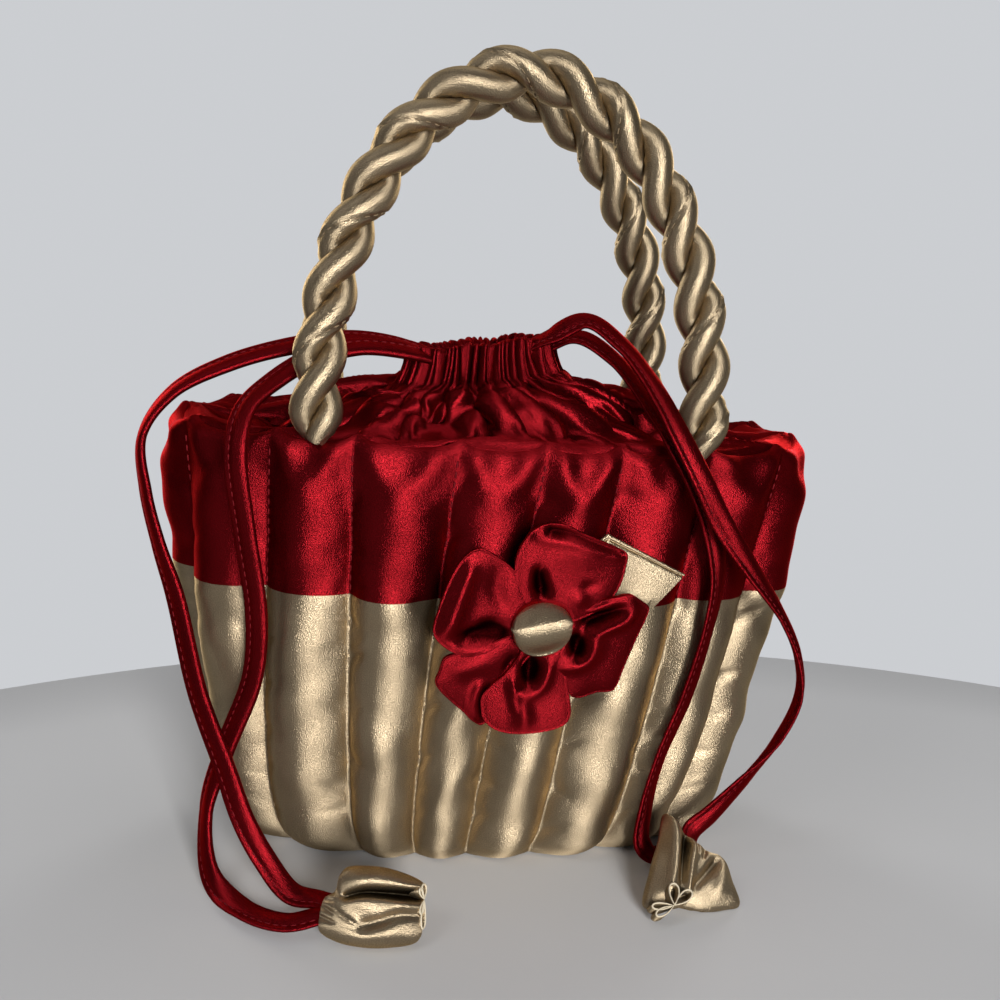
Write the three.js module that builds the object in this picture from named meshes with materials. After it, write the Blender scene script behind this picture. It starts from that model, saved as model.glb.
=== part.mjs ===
// Basket purse: quilted two-colour satin basket with a drawstring collar, two
// twisted handles, a sewn flower and two tasselled drawstrings. Millimetres,
// +Z up, the front with the flower facing -Y, the base on Z = 0.
import * as THREE from 'three';

// Basket
const WALL_HEIGHT = 155;
const RIM_HALF_LENGTH = 115;
const RIM_HALF_DEPTH = 50;
const BASE_HALF_LENGTH = 82;
const BASE_HALF_DEPTH = 38;
const OUTLINE_POWER = 2.5;
const BOWL_POWER = 0.42;
const COLOUR_SEAM_HEIGHT = 102;
const CHANNELS = 18;
const SEAM_PHASE = 0.2;
const COLUMNS_PER_CHANNEL = 5;
const PUFF_HEIGHT = 5;
const SEAM_INSET = 2;
const WALL_BACK = 7;
const SEAM_GAP = 0.3;
const BASE_THICKNESS = 4;
const LINING_THICKNESS = 1.2;
const LINING_TOP = WALL_HEIGHT - 7;

// Drawstring collar
const COLLAR_THICKNESS = 1.4;
const NECK_CENTRE_X = -8;
const NECK_HALF_LENGTH = 24;
const NECK_HALF_DEPTH = 10.5;
const NECK_HEIGHT = WALL_HEIGHT + 29;
const NECK_SLOPE = 0.12;
const NECK_LENGTH = 6;

// Handles
const FOOT_HALF_SPAN = 64;
const HINGE_HEIGHT = WALL_HEIGHT + 5.1;
const FOOT_DROP = 4.2;
const HANDLE_RISE = 111;
const FRONT_LEAN = 17;
const BACK_LEAN = 9;
const STRAND_DIAMETER = 8;
const STRAND_OFFSET = 4.45;
const TWIST_PITCH = 36.5;
const STEPS_PER_TURN = 8;
const STRAND_SIDES = 8;
const FOOT_TAPER = 16;

// Flower
const FLOWER_X = 11;
const FLOWER_HEIGHT = 94;
const FLOWER_CLEARANCE = 0.6;
const PETALS = [
  { name: 'petal_top', from: 34, to: 117, reach: 35 },
  { name: 'petal_upper_left', from: 117, to: 187, reach: 38 },
  { name: 'petal_lower_left', from: 187, to: 247, reach: 39 },
  { name: 'petal_bottom', from: 247, to: 307, reach: 38 },
  { name: 'petal_right', from: 307, to: 394, reach: 37 },
];
const PETAL_THICKNESS = 7;
const PETAL_BEVEL = 2;
const BUTTON_DIAMETER = 22;
const BUTTON_HEIGHT = 7;
const LEAF_THICKNESS = 1.2;
const LEAF_SEAT = 37;

// Drawstrings and tassels
const CORD_WIDTH = 7;
const CORD_THICKNESS = 3.4;
const CORD_STEP = 9;
const TASSEL_HALF_WIDTH = 11.5;
const TASSEL_HALF_HEIGHT = 8.6;

const RED = 0x9c0d1c;
const GOLD = 0xc9b48a;
const LEVEL_KNOTS = [0, 1.5, 6, 16, 34, 62, COLOUR_SEAM_HEIGHT, WALL_HEIGHT];

const part = new THREE.Group();
part.name = 'basket_purse';

function addMesh(name, geometry, colour) {
  const material = new THREE.MeshStandardMaterial({ color: colour, roughness: 0.4 });
  const mesh = new THREE.Mesh(geometry, material);
  mesh.name = name;
  part.add(mesh);
  return mesh;
}

// Share of the bowl's growth from base to rim, straight between the knots
function bowlShare(z) {
  const top = LEVEL_KNOTS.length - 1;
  let k = 1;
  while (k < top && z > LEVEL_KNOTS[k]) {
    k += 1;
  }
  const low = LEVEL_KNOTS[k - 1];
  const high = LEVEL_KNOTS[k];
  const lowShare = Math.pow(low / WALL_HEIGHT, BOWL_POWER);
  const highShare = Math.pow(high / WALL_HEIGHT, BOWL_POWER);
  return lowShare + (highShare - lowShare) * (z - low) / (high - low);
}

function halfLength(z) {
  return BASE_HALF_LENGTH + (RIM_HALF_LENGTH - BASE_HALF_LENGTH) * bowlShare(z);
}

function halfDepth(z) {
  return BASE_HALF_DEPTH + (RIM_HALF_DEPTH - BASE_HALF_DEPTH) * bowlShare(z);
}

function ovalPoint(angle, a, b) {
  const c = Math.cos(angle);
  const s = Math.sin(angle);
  const power = 2 / OUTLINE_POWER;
  const x = a * Math.sign(c) * Math.pow(Math.abs(c), power);
  const y = b * Math.sign(s) * Math.pow(Math.abs(s), power);
  return new THREE.Vector2(x, y);
}

// Angle reached after a share of the rim's length, from the front centre
const ARC_SAMPLES = 1440;
const arcLengths = [0];
for (let i = 1; i <= ARC_SAMPLES; i += 1) {
  const turn = i / ARC_SAMPLES * 2 * Math.PI - Math.PI / 2;
  const before = ovalPoint(turn - 2 * Math.PI / ARC_SAMPLES, RIM_HALF_LENGTH, RIM_HALF_DEPTH);
  const after = ovalPoint(turn, RIM_HALF_LENGTH, RIM_HALF_DEPTH);
  arcLengths.push(arcLengths[i - 1] + before.distanceTo(after));
}

function angleAtShare(share) {
  const wanted = (share - Math.floor(share)) * arcLengths[ARC_SAMPLES];
  let i = 1;
  while (arcLengths[i] < wanted) {
    i += 1;
  }
  const along = (wanted - arcLengths[i - 1]) / (arcLengths[i] - arcLengths[i - 1]);
  return (i - 1 + along) / ARC_SAMPLES * 2 * Math.PI - Math.PI / 2;
}

const WALL_COLUMNS = CHANNELS * COLUMNS_PER_CHANNEL;
const wallAngles = [];
for (let j = 0; j < WALL_COLUMNS; j += 1) {
  wallAngles.push(angleAtShare((j / COLUMNS_PER_CHANNEL + SEAM_PHASE) / CHANNELS));
}
const plainAngles = wallAngles.filter((angle, j) => j % 2 === 0);

// Ring of points at one level, pushed out by offset(column)
function levelRing(angles, z, offset) {
  return angles.map((angle, j) => {
    const out = offset(j);
    const p = ovalPoint(angle, halfLength(z) + out, halfDepth(z) + out);
    return new THREE.Vector3(p.x, p.y, z);
  });
}

function puffAt(column) {
  const across = (column % COLUMNS_PER_CHANNEL) / COLUMNS_PER_CHANNEL;
  return Math.pow(Math.sin(Math.PI * across), 0.7);
}

function knotsBetween(low, high) {
  const inner = LEVEL_KNOTS.filter((z) => z > low + 0.5 && z < high - 0.5);
  return [low, ...inner, high];
}

// Closed body from a list of rings; the ends close as a loop or with a fan
function ringBody(rings, closesAsLoop) {
  const columns = rings[0].length;
  const vertices = rings.flat();
  const index = [];
  const pairs = closesAsLoop ? rings.length : rings.length - 1;
  for (let i = 0; i < pairs; i += 1) {
    const next = (i + 1) % rings.length;
    for (let j = 0; j < columns; j += 1) {
      const k = (j + 1) % columns;
      index.push(i * columns + j, i * columns + k, next * columns + k);
      index.push(i * columns + j, next * columns + k, next * columns + j);
    }
  }
  if (!closesAsLoop) {
    for (const end of [0, rings.length - 1]) {
      const middle = new THREE.Vector3();
      rings[end].forEach((p) => middle.add(p));
      middle.divideScalar(columns);
      const centre = vertices.length;
      vertices.push(middle);
      for (let j = 0; j < columns; j += 1) {
        const a = end * columns + j;
        const b = end * columns + (j + 1) % columns;
        if (end === 0) {
          index.push(centre, b, a);
        } else {
          index.push(centre, a, b);
        }
      }
    }
  }
  let volume = 0;
  for (let t = 0; t < index.length; t += 3) {
    const a = vertices[index[t]];
    const b = vertices[index[t + 1]];
    const c = vertices[index[t + 2]];
    volume += a.dot(new THREE.Vector3().crossVectors(b, c));
  }
  if (volume < 0) {
    index.reverse();
  }
  const geometry = new THREE.BufferGeometry();
  geometry.setFromPoints(vertices);
  geometry.setIndex(index);
  geometry.computeVertexNormals();
  return geometry;
}

// Gold band: turned under at the base, puffed between the stitched seams
const goldTop = COLOUR_SEAM_HEIGHT - SEAM_GAP / 2;
const goldRings = [];
goldRings.push(levelRing(wallAngles, 0, () => -WALL_BACK));
for (const z of knotsBetween(0, goldTop)) {
  const fullness = Math.min(1, 0.15 + z / 14);
  const turnIn = z === 0 ? 3 : 0;
  goldRings.push(levelRing(wallAngles, z, (j) => PUFF_HEIGHT * fullness * puffAt(j) - SEAM_INSET - turnIn));
}
for (const z of knotsBetween(0, goldTop).reverse()) {
  if (z > 0) {
    goldRings.push(levelRing(wallAngles, z, () => -WALL_BACK));
  }
}
addMesh('gold_wall_band', ringBody(goldRings, true), GOLD);

// Red band: from the colour seam to the rounded rim
const redBottom = COLOUR_SEAM_HEIGHT + SEAM_GAP / 2;
const redRings = [];
redRings.push(levelRing(wallAngles, redBottom, () => -WALL_BACK));
for (const z of [redBottom, (redBottom + WALL_HEIGHT) / 2, WALL_HEIGHT - 6, WALL_HEIGHT - 1.6]) {
  const fullness = z > WALL_HEIGHT - 3 ? 0.6 : 1;
  redRings.push(levelRing(wallAngles, z, (j) => PUFF_HEIGHT * fullness * puffAt(j) - SEAM_INSET));
}
redRings.push(levelRing(wallAngles, WALL_HEIGHT, (j) => 1.5 * puffAt(j) - SEAM_INSET - 1.5));
redRings.push(levelRing(wallAngles, WALL_HEIGHT, () => -WALL_BACK));
addMesh('red_wall_band', ringBody(redRings, true), RED);

// Padded base panel inside the foot of the wall
const panelRings = [];
for (const z of knotsBetween(0, BASE_THICKNESS)) {
  panelRings.push(levelRing(plainAngles, z, () => -WALL_BACK - 2 * SEAM_GAP));
}
addMesh('base_panel', ringBody(panelRings, false), GOLD);

// Lining: a cup with a floor on the base panel
const liningFloor = BASE_THICKNESS + SEAM_GAP;
const liningOuter = -WALL_BACK - SEAM_GAP;
const liningRings = [];
for (const z of knotsBetween(liningFloor, LINING_TOP)) {
  liningRings.push(levelRing(plainAngles, z, () => liningOuter));
}
for (const z of knotsBetween(liningFloor + LINING_THICKNESS, LINING_TOP).reverse()) {
  liningRings.push(levelRing(plainAngles, z, () => liningOuter - LINING_THICKNESS));
}
addMesh('lining', ringBody(liningRings, false), RED);

// Collar: sewn in at the rim, drawn together to an open neck
function collarRing(centreX, a, b, z) {
  const slope = z > NECK_HEIGHT - NECK_LENGTH - 2 ? NECK_SLOPE : 0;
  return plainAngles.map((angle) => {
    const p = ovalPoint(angle, a, b);
    return new THREE.Vector3(p.x + centreX, p.y, z + slope * p.x);
  });
}
const collarFoot = LINING_TOP + SEAM_GAP;
const rimIn = WALL_BACK + SEAM_GAP;
const rimLength = RIM_HALF_LENGTH - rimIn - 1.2;
const rimDepth = RIM_HALF_DEPTH - rimIn - 1.2;
const neckFoot = NECK_HEIGHT - NECK_LENGTH;
const neckFootLength = NECK_HALF_LENGTH + 2.5;
const neckFootDepth = NECK_HALF_DEPTH + 1.5;
const collarLevels = [
  [0, halfLength(collarFoot) - rimIn, halfDepth(collarFoot) - rimIn, collarFoot, COLLAR_THICKNESS, 0],
  [0, rimLength, rimDepth, WALL_HEIGHT, 1.2, -0.7],
];
for (const [inward, upward] of [[0.14, 0.26], [0.45, 0.57], [0.78, 0.85], [1, 1]]) {
  const a = THREE.MathUtils.lerp(rimLength, neckFootLength, inward);
  const b = THREE.MathUtils.lerp(rimDepth, neckFootDepth, inward);
  const z = THREE.MathUtils.lerp(WALL_HEIGHT, neckFoot, upward);
  collarLevels.push([NECK_CENTRE_X * inward, a, b, z, 0.6 + 0.6 * Math.floor(inward), -1.3]);
}
collarLevels.push([NECK_CENTRE_X, NECK_HALF_LENGTH, NECK_HALF_DEPTH, NECK_HEIGHT, COLLAR_THICKNESS, 0]);
const collarOutside = collarLevels.map((l) => collarRing(l[0], l[1], l[2], l[3]));
const collarInside = collarLevels.map((l) => collarRing(l[0], l[1] - l[4], l[2] - l[4], l[3] + l[5]));
addMesh('drawstring_collar', ringBody([...collarOutside, ...collarInside.reverse()], true), RED);

// Handles: two stuffed strands twisted together, pinched where they are sewn in
const footInset = (WALL_BACK + SEAM_INSET + 1.5) / 2;
const footShare = Math.pow(FOOT_HALF_SPAN / (RIM_HALF_LENGTH - footInset), OUTLINE_POWER);
const footY = (RIM_HALF_DEPTH - footInset) * Math.pow(1 - footShare, 1 / OUTLINE_POWER);
function handleStrand(side, lean, startAngle) {
  const shape = [
    [1, -FOOT_DROP / HANDLE_RISE],
    [1, 0],
    [0.995, 0.14],
    [0.97, 0.28],
    [0.895, 0.47],
    [0.765, 0.65],
    [0.54, 0.84],
    [0.235, 0.965],
    [0, 1],
  ];
  const mirrored = shape.slice(0, -1).reverse().map((p) => [-p[0], p[1]]);
  const upright = new THREE.Vector3(0, -side * lean, HANDLE_RISE).normalize();
  const points = [...shape, ...mirrored].map((p) => {
    const foot = new THREE.Vector3(-p[0] * FOOT_HALF_SPAN, side * footY, HINGE_HEIGHT);
    return foot.addScaledVector(upright, p[1] * HANDLE_RISE);
  });
  const path = new THREE.CatmullRomCurve3(points);
  path.arcLengthDivisions = 400;
  const length = path.getLength();
  const steps = Math.round(length / TWIST_PITCH * STEPS_PER_TURN);
  const facing = new THREE.Vector3().crossVectors(new THREE.Vector3(1, 0, 0), upright);
  const axisAt = (u) => {
    const s = Math.min(u, 1 - u) * length;
    const k = Math.min(1, s / FOOT_TAPER);
    const fullness = 0.2 + 0.8 * Math.sin(k * Math.PI / 2);
    const turn = startAngle + u * length / TWIST_PITCH * 2 * Math.PI;
    const along = path.getTangentAt(u);
    const across = new THREE.Vector3().crossVectors(along, facing);
    const radial = facing.clone().multiplyScalar(Math.cos(turn)).addScaledVector(across, Math.sin(turn));
    const centre = path.getPointAt(u).addScaledVector(radial, STRAND_OFFSET * fullness);
    return { centre, radial, fullness };
  };
  const rings = [];
  let lastOut = axisAt(0).radial;
  for (let i = 0; i <= steps; i += 1) {
    const here = axisAt(i / steps);
    const before = axisAt(Math.max(0, i / steps - 0.002)).centre;
    const after = axisAt(Math.min(1, i / steps + 0.002)).centre;
    const along = after.sub(before).normalize();
    const out = lastOut.clone().addScaledVector(along, -lastOut.dot(along)).normalize();
    lastOut = out;
    const sideways = new THREE.Vector3().crossVectors(along, out);
    const radius = STRAND_DIAMETER / 2 * here.fullness;
    const ring = [];
    for (let j = 0; j < STRAND_SIDES; j += 1) {
      const angle = (j + 0.5) / STRAND_SIDES * 2 * Math.PI;
      const p = here.centre.clone();
      p.addScaledVector(out, radius * Math.cos(angle));
      p.addScaledVector(sideways, radius * Math.sin(angle));
      ring.push(p);
    }
    rings.push(ring);
  }
  return ringBody(rings, false);
}
addMesh('front_handle_strand_a', handleStrand(-1, FRONT_LEAN, 0), GOLD);
addMesh('front_handle_strand_b', handleStrand(-1, FRONT_LEAN, Math.PI), GOLD);
addMesh('back_handle_strand_a', handleStrand(1, BACK_LEAN, 0), GOLD);
addMesh('back_handle_strand_b', handleStrand(1, BACK_LEAN, Math.PI), GOLD);

// Flower: five folded petals round a covered button, with a leaf tab behind
const flowerSpan = 30;
const crestHeight = PUFF_HEIGHT - SEAM_INSET;

// How far the channels' crests stand in front of the middle plane
function crestDepth(x, z) {
  const share = Math.pow(Math.abs(x) / halfLength(z), OUTLINE_POWER);
  return halfDepth(z) * Math.pow(1 - share, 1 / OUTLINE_POWER) + crestHeight;
}

const flowerDepth = crestDepth(FLOWER_X, FLOWER_HEIGHT) + FLOWER_CLEARANCE;
const leafDepth = crestDepth(FLOWER_X + LEAF_SEAT, FLOWER_HEIGHT) + LEAF_THICKNESS + 5 * SEAM_GAP;
const wallLean = halfDepth(FLOWER_HEIGHT + flowerSpan) - halfDepth(FLOWER_HEIGHT - flowerSpan);
const faceX = (flowerDepth - leafDepth) / LEAF_SEAT;
const faceZ = -wallLean / (2 * flowerSpan);
const flowerFace = new THREE.Vector3(faceX, -1, faceZ).normalize();
const flowerAcross = new THREE.Vector3(0, 0, 1).cross(flowerFace).normalize();
const flowerUp = new THREE.Vector3().crossVectors(flowerFace, flowerAcross);
const flowerFrame = new THREE.Matrix4().makeBasis(flowerAcross, flowerUp, flowerFace);
flowerFrame.setPosition(FLOWER_X, -flowerDepth, FLOWER_HEIGHT);

function petal(fromDegrees, toDegrees, reach) {
  const from = THREE.MathUtils.degToRad(fromDegrees);
  const to = THREE.MathUtils.degToRad(toDegrees);
  const middle = (from + to) / 2;
  const half = (to - from) / 2;
  const inset = PETAL_BEVEL + 0.3;
  const root = 7;
  const rootTurn = half - Math.asin(inset / root);
  const outer = reach - PETAL_BEVEL;
  const edgeTurn = half - Math.asin(inset / (0.8 * outer));
  const shape = new THREE.Shape();
  shape.moveTo(root * Math.cos(middle + rootTurn), root * Math.sin(middle + rootTurn));
  shape.lineTo(root * Math.cos(middle - rootTurn), root * Math.sin(middle - rootTurn));
  const segments = 9;
  for (let i = 0; i <= segments; i += 1) {
    const across = i / segments * 2 - 1;
    const angle = middle + across * edgeTurn;
    const r = outer * (1 - 0.2 * Math.pow(Math.abs(across), 4));
    shape.lineTo(r * Math.cos(angle), r * Math.sin(angle));
  }
  shape.closePath();
  const geometry = new THREE.ExtrudeGeometry(shape, {
    depth: PETAL_THICKNESS - 2 * PETAL_BEVEL,
    bevelEnabled: true,
    bevelThickness: PETAL_BEVEL,
    bevelSize: PETAL_BEVEL,
    bevelSegments: 2,
    steps: 1,
  });
  geometry.translate(0, 0, PETAL_BEVEL);
  geometry.applyMatrix4(flowerFrame);
  return geometry;
}
for (const one of PETALS) {
  addMesh(one.name, petal(one.from, one.to, one.reach), RED);
}

// Covered button: a low dome on the petals
const dome = [new THREE.Vector2(0, 0), new THREE.Vector2(BUTTON_DIAMETER / 2 - 1.2, 0)];
for (let i = 0; i <= 5; i += 1) {
  const angle = i / 5 * Math.PI / 2;
  const r = BUTTON_DIAMETER / 2 * Math.cos(angle);
  dome.push(new THREE.Vector2(r, 1.6 + (BUTTON_HEIGHT - 1.6) * Math.sin(angle)));
}
dome[dome.length - 1].x = 0;
const button = new THREE.LatheGeometry(dome, 24);
button.rotateX(Math.PI / 2);
button.translate(0, 0, PETAL_THICKNESS + SEAM_GAP);
button.applyMatrix4(flowerFrame);
addMesh('flower_button', button, GOLD);

// Leaf: a folded tab tucked behind the upper right petals
const leaf = new THREE.Shape();
leaf.moveTo(17, 29);
leaf.lineTo(22, 33);
leaf.lineTo(51, 18.5);
leaf.lineTo(42, 9.5);
leaf.lineTo(24, 12);
leaf.closePath();
const leafSolid = new THREE.ExtrudeGeometry(leaf, { depth: LEAF_THICKNESS, bevelEnabled: false, steps: 1 });
leafSolid.translate(0, 0, -LEAF_THICKNESS - SEAM_GAP);
leafSolid.applyMatrix4(flowerFrame);
addMesh('leaf_tab', leafSolid, GOLD);

// Drawstrings: flat satin tubes from the neck, over the rim, down to the tassels
function drawstring(route) {
  const path = new THREE.CatmullRomCurve3(route.map((p) => new THREE.Vector3(p[0], p[1], p[2])));
  const section = new THREE.Shape();
  for (let j = 0; j < 8; j += 1) {
    const angle = (j + 0.5) / 8 * 2 * Math.PI;
    const x = CORD_THICKNESS / 2 * Math.cos(angle);
    const y = CORD_WIDTH / 2 * Math.sin(angle);
    if (j === 0) {
      section.moveTo(x, y);
    } else {
      section.lineTo(x, y);
    }
  }
  section.closePath();
  const steps = Math.round(path.getLength() / CORD_STEP);
  return new THREE.ExtrudeGeometry(section, { steps, bevelEnabled: false, extrudePath: path });
}
const leftOuterRoute = [
  [-33.5, -1, 180],
  [-52, -3, 182],
  [-72, -6, 179],
  [-94, -8, 172],
  [-112, -13, 162],
  [-121, -20, 148],
  [-119.5, -23, 130],
  [-115, -26.2, 113],
  [-109, -30, 96],
  [-100, -42, 66],
  [-90, -52, 44],
  [-83.5, -57, 28],
  [-76, -60, 15],
  [-67, -67, 7],
  [-57.8, -72.6, 8],
];
const leftInnerRoute = [
  [-32, -10, 179],
  [-50, -14, 180.5],
  [-66, -20, 176.5],
  [-78, -29, 169.5],
  [-86, -40, 162],
  [-88, -49, 150],
  [-85, -48, 124],
  [-81, -47, 96],
  [-82, -46, 74],
  [-91, -42, 46],
  [-97, -44, 24],
  [-94, -56, 7],
  [-82, -70, 3.5],
  [-68, -79, 4.5],
  [-57.8, -79.6, 7],
];
const rightARoute = [
  [18.6, -1, 184.5],
  [27, -7, 187],
  [38, -16, 180.5],
  [45, -28, 171.5],
  [49.5, -40, 163.5],
  [52, -50, 158],
  [58, -54, 148],
  [67, -51, 131],
  [72, -49, 112],
  [71, -47.5, 92],
  [67, -46, 68],
  [60, -44.5, 42],
  [57, -45, 24],
  [57, -46, 10],
  [63, -45, 4.5],
  [70.5, -43, 8],
];
const rightBRoute = [
  [15.2, -9.4, 187],
  [27, -15, 193.5],
  [38, -23, 186.5],
  [44, -34, 178.5],
  [48, -45, 170.5],
  [51, -54, 163],
  [58, -60, 150],
  [68, -58, 134],
  [82, -54, 117],
  [96, -50, 100],
  [106, -47, 83],
  [109, -46, 68],
  [104, -45, 51],
  [93, -44, 34],
  [82, -43.7, 20],
  [75.5, -44.7, 14.2],
];
addMesh('left_drawstring_outer', drawstring(leftOuterRoute), RED);
addMesh('left_drawstring_inner', drawstring(leftInnerRoute), RED);
addMesh('right_drawstring_a', drawstring(rightARoute), RED);
addMesh('right_drawstring_b', drawstring(rightBRoute), RED);

// Tassels: fabric tubes gathered on the cord ends and pinched at the far end
function tassel(from, to) {
  const start = new THREE.Vector3(from[0], from[1], from[2]);
  const end = new THREE.Vector3(to[0], to[1], to[2]);
  const along = end.clone().sub(start).normalize();
  const across = new THREE.Vector3().crossVectors(along, new THREE.Vector3(0, 0, 1)).normalize();
  const up = new THREE.Vector3().crossVectors(across, along);
  const fullness = [[0, 0.42], [0.12, 0.62], [0.35, 0.9], [0.7, 1], [0.9, 0.93], [1, 0.75]];
  const rings = fullness.map((f) => {
    const ring = [];
    for (let j = 0; j < 14; j += 1) {
      const angle = j / 14 * 2 * Math.PI;
      const p = start.clone().lerp(end, f[0]);
      p.addScaledVector(across, TASSEL_HALF_WIDTH * f[1] * Math.cos(angle));
      p.addScaledVector(up, TASSEL_HALF_HEIGHT * f[1] * Math.sin(angle));
      ring.push(p);
    }
    return ring;
  });
  return ringBody(rings, false);
}
addMesh('left_tassel', tassel([-56.5, -76, 7.5], [-22.5, -77, 9]), GOLD);
addMesh('right_tassel', tassel([73.5, -46.5, 12], [60, -78, 9.4]), GOLD);

export default part;
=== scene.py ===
import math

import bpy
import numpy as np
from mathutils import Matrix, Vector


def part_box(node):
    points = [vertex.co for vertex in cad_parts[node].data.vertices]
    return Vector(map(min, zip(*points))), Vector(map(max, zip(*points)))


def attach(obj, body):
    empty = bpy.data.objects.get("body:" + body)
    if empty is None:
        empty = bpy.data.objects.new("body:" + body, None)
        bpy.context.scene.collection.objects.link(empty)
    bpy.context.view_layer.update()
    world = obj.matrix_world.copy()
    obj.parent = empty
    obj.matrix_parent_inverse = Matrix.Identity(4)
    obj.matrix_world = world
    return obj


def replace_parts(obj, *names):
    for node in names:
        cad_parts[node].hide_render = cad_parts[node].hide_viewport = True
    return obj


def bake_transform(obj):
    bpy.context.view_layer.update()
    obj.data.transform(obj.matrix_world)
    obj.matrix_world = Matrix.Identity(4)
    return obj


# Basket purse: quilted red and gold satin, drawstring collar, twisted handles, sewn flower, tasselled cords.
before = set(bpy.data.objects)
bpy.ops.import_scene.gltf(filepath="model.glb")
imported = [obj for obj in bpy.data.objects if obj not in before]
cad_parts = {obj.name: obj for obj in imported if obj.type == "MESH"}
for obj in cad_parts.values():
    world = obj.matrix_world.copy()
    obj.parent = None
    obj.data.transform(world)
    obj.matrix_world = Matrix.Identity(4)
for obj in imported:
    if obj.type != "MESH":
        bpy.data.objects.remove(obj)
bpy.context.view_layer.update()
scene = bpy.context.scene

# Basket sizes, in metres
WALL_HEIGHT = 0.155
RIM_HALF_LENGTH = 0.115
RIM_HALF_DEPTH = 0.050
BASE_HALF_LENGTH = 0.082
BASE_HALF_DEPTH = 0.038
OUTLINE_POWER = 2.5
BOWL_POWER = 0.42
COLOUR_SEAM_HEIGHT = 0.102
CHANNELS = 18
SEAM_PHASE = 0.3
SEAM_TWIST = 0.43
WALL_BACK = 0.007

# How far each seam wanders from its even place at the rim and at the base, in channels
SEAM_RIM_SHIFT = [
    0.05, -0.12, -0.06, 0.00, 0.04, -0.05, 0.06, -0.03, 0.05,
    -0.06, 0.03, -0.04, 0.05, -0.03, 0.00, 0.12, -0.01, 0.10,
]
SEAM_BASE_SHIFT = [
    -0.14, -0.08, 0.09, 0.02, -0.05, 0.06, -0.03, 0.05, -0.06,
    0.04, 0.06, -0.05, 0.03, -0.04, 0.05, -0.05, 0.18, 0.03,
]


# Shared helpers

def ease(low, high, value):
    t = np.clip((value - low) / (high - low), 0, 1)
    return t * t * (3 - 2 * t)


def unit(vectors):
    return vectors / np.linalg.norm(vectors, axis=-1, keepdims=True)


def wobble(values, seed, octaves=4):
    """Smooth seeded variation, about -1 to 1, that repeats when values grow by 1."""
    rng = np.random.default_rng(seed)
    total = np.zeros_like(values)
    for k in range(1, octaves + 1):
        total = total + rng.normal() / k * np.sin(2 * math.pi * (k * values + rng.random()))
    return total * 0.6


def curve_points(p):
    """Dense points of a smooth curve from the second given point to the last but one."""
    dense = []
    for i in range(1, len(p) - 2):
        a, b, c, d = p[i - 1:i + 3]
        t1 = np.linalg.norm(b - a) ** 0.5
        t2 = t1 + np.linalg.norm(c - b) ** 0.5
        t3 = t2 + np.linalg.norm(d - c) ** 0.5
        t = np.linspace(t1, t2, 24, endpoint=False)[:, None]
        ab = ((t1 - t) * a + t * b) / t1
        bc = ((t2 - t) * b + (t - t1) * c) / (t2 - t1)
        cd = ((t3 - t) * c + (t - t2) * d) / (t3 - t2)
        abc = ((t2 - t) * ab + t * bc) / t2
        bcd = ((t3 - t) * bc + (t - t1) * cd) / (t3 - t1)
        dense.append(((t2 - t) * abc + (t - t1) * bcd) / (t2 - t1))
    dense.append(p[-2:-1])
    return np.vstack(dense)


def spread(line, places):
    """Points at shares of the way along a line of points."""
    run = np.concatenate([[0], np.cumsum(np.linalg.norm(np.diff(line, axis=0), axis=1))])
    return np.stack([np.interp(places * run[-1], run, line[:, k]) for k in range(line.shape[1])], 1)


def smooth_line(points, spacing):
    """Points at even spacing along a smooth curve through the given points."""
    p = np.array(points, float)
    line = curve_points(np.vstack([2 * p[0] - p[1], p, 2 * p[-1] - p[-2]]))
    steps = max(2, round(line_length(line) / spacing))
    return spread(line, np.linspace(0, 1, steps + 1))


def closed_line(points, count):
    """Points at even spacing round a smooth closed curve through the given points."""
    p = np.array(points, float)
    line = curve_points(np.vstack([p[-1:], p, p[:2]]))
    return spread(line, np.linspace(0, 1, count, endpoint=False))


def line_length(line):
    return float(np.linalg.norm(np.diff(line, axis=0), axis=1).sum())


def add_mesh(name, vertices, faces, material):
    mesh = bpy.data.meshes.new(name)
    mesh.from_pydata(np.asarray(vertices).tolist(), [], faces)
    mesh.materials.append(material)
    mesh.polygons.foreach_set("use_smooth", [True] * len(mesh.polygons))
    mesh.update()
    piece = bpy.data.objects.new(name, mesh)
    scene.collection.objects.link(piece)
    return piece


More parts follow.
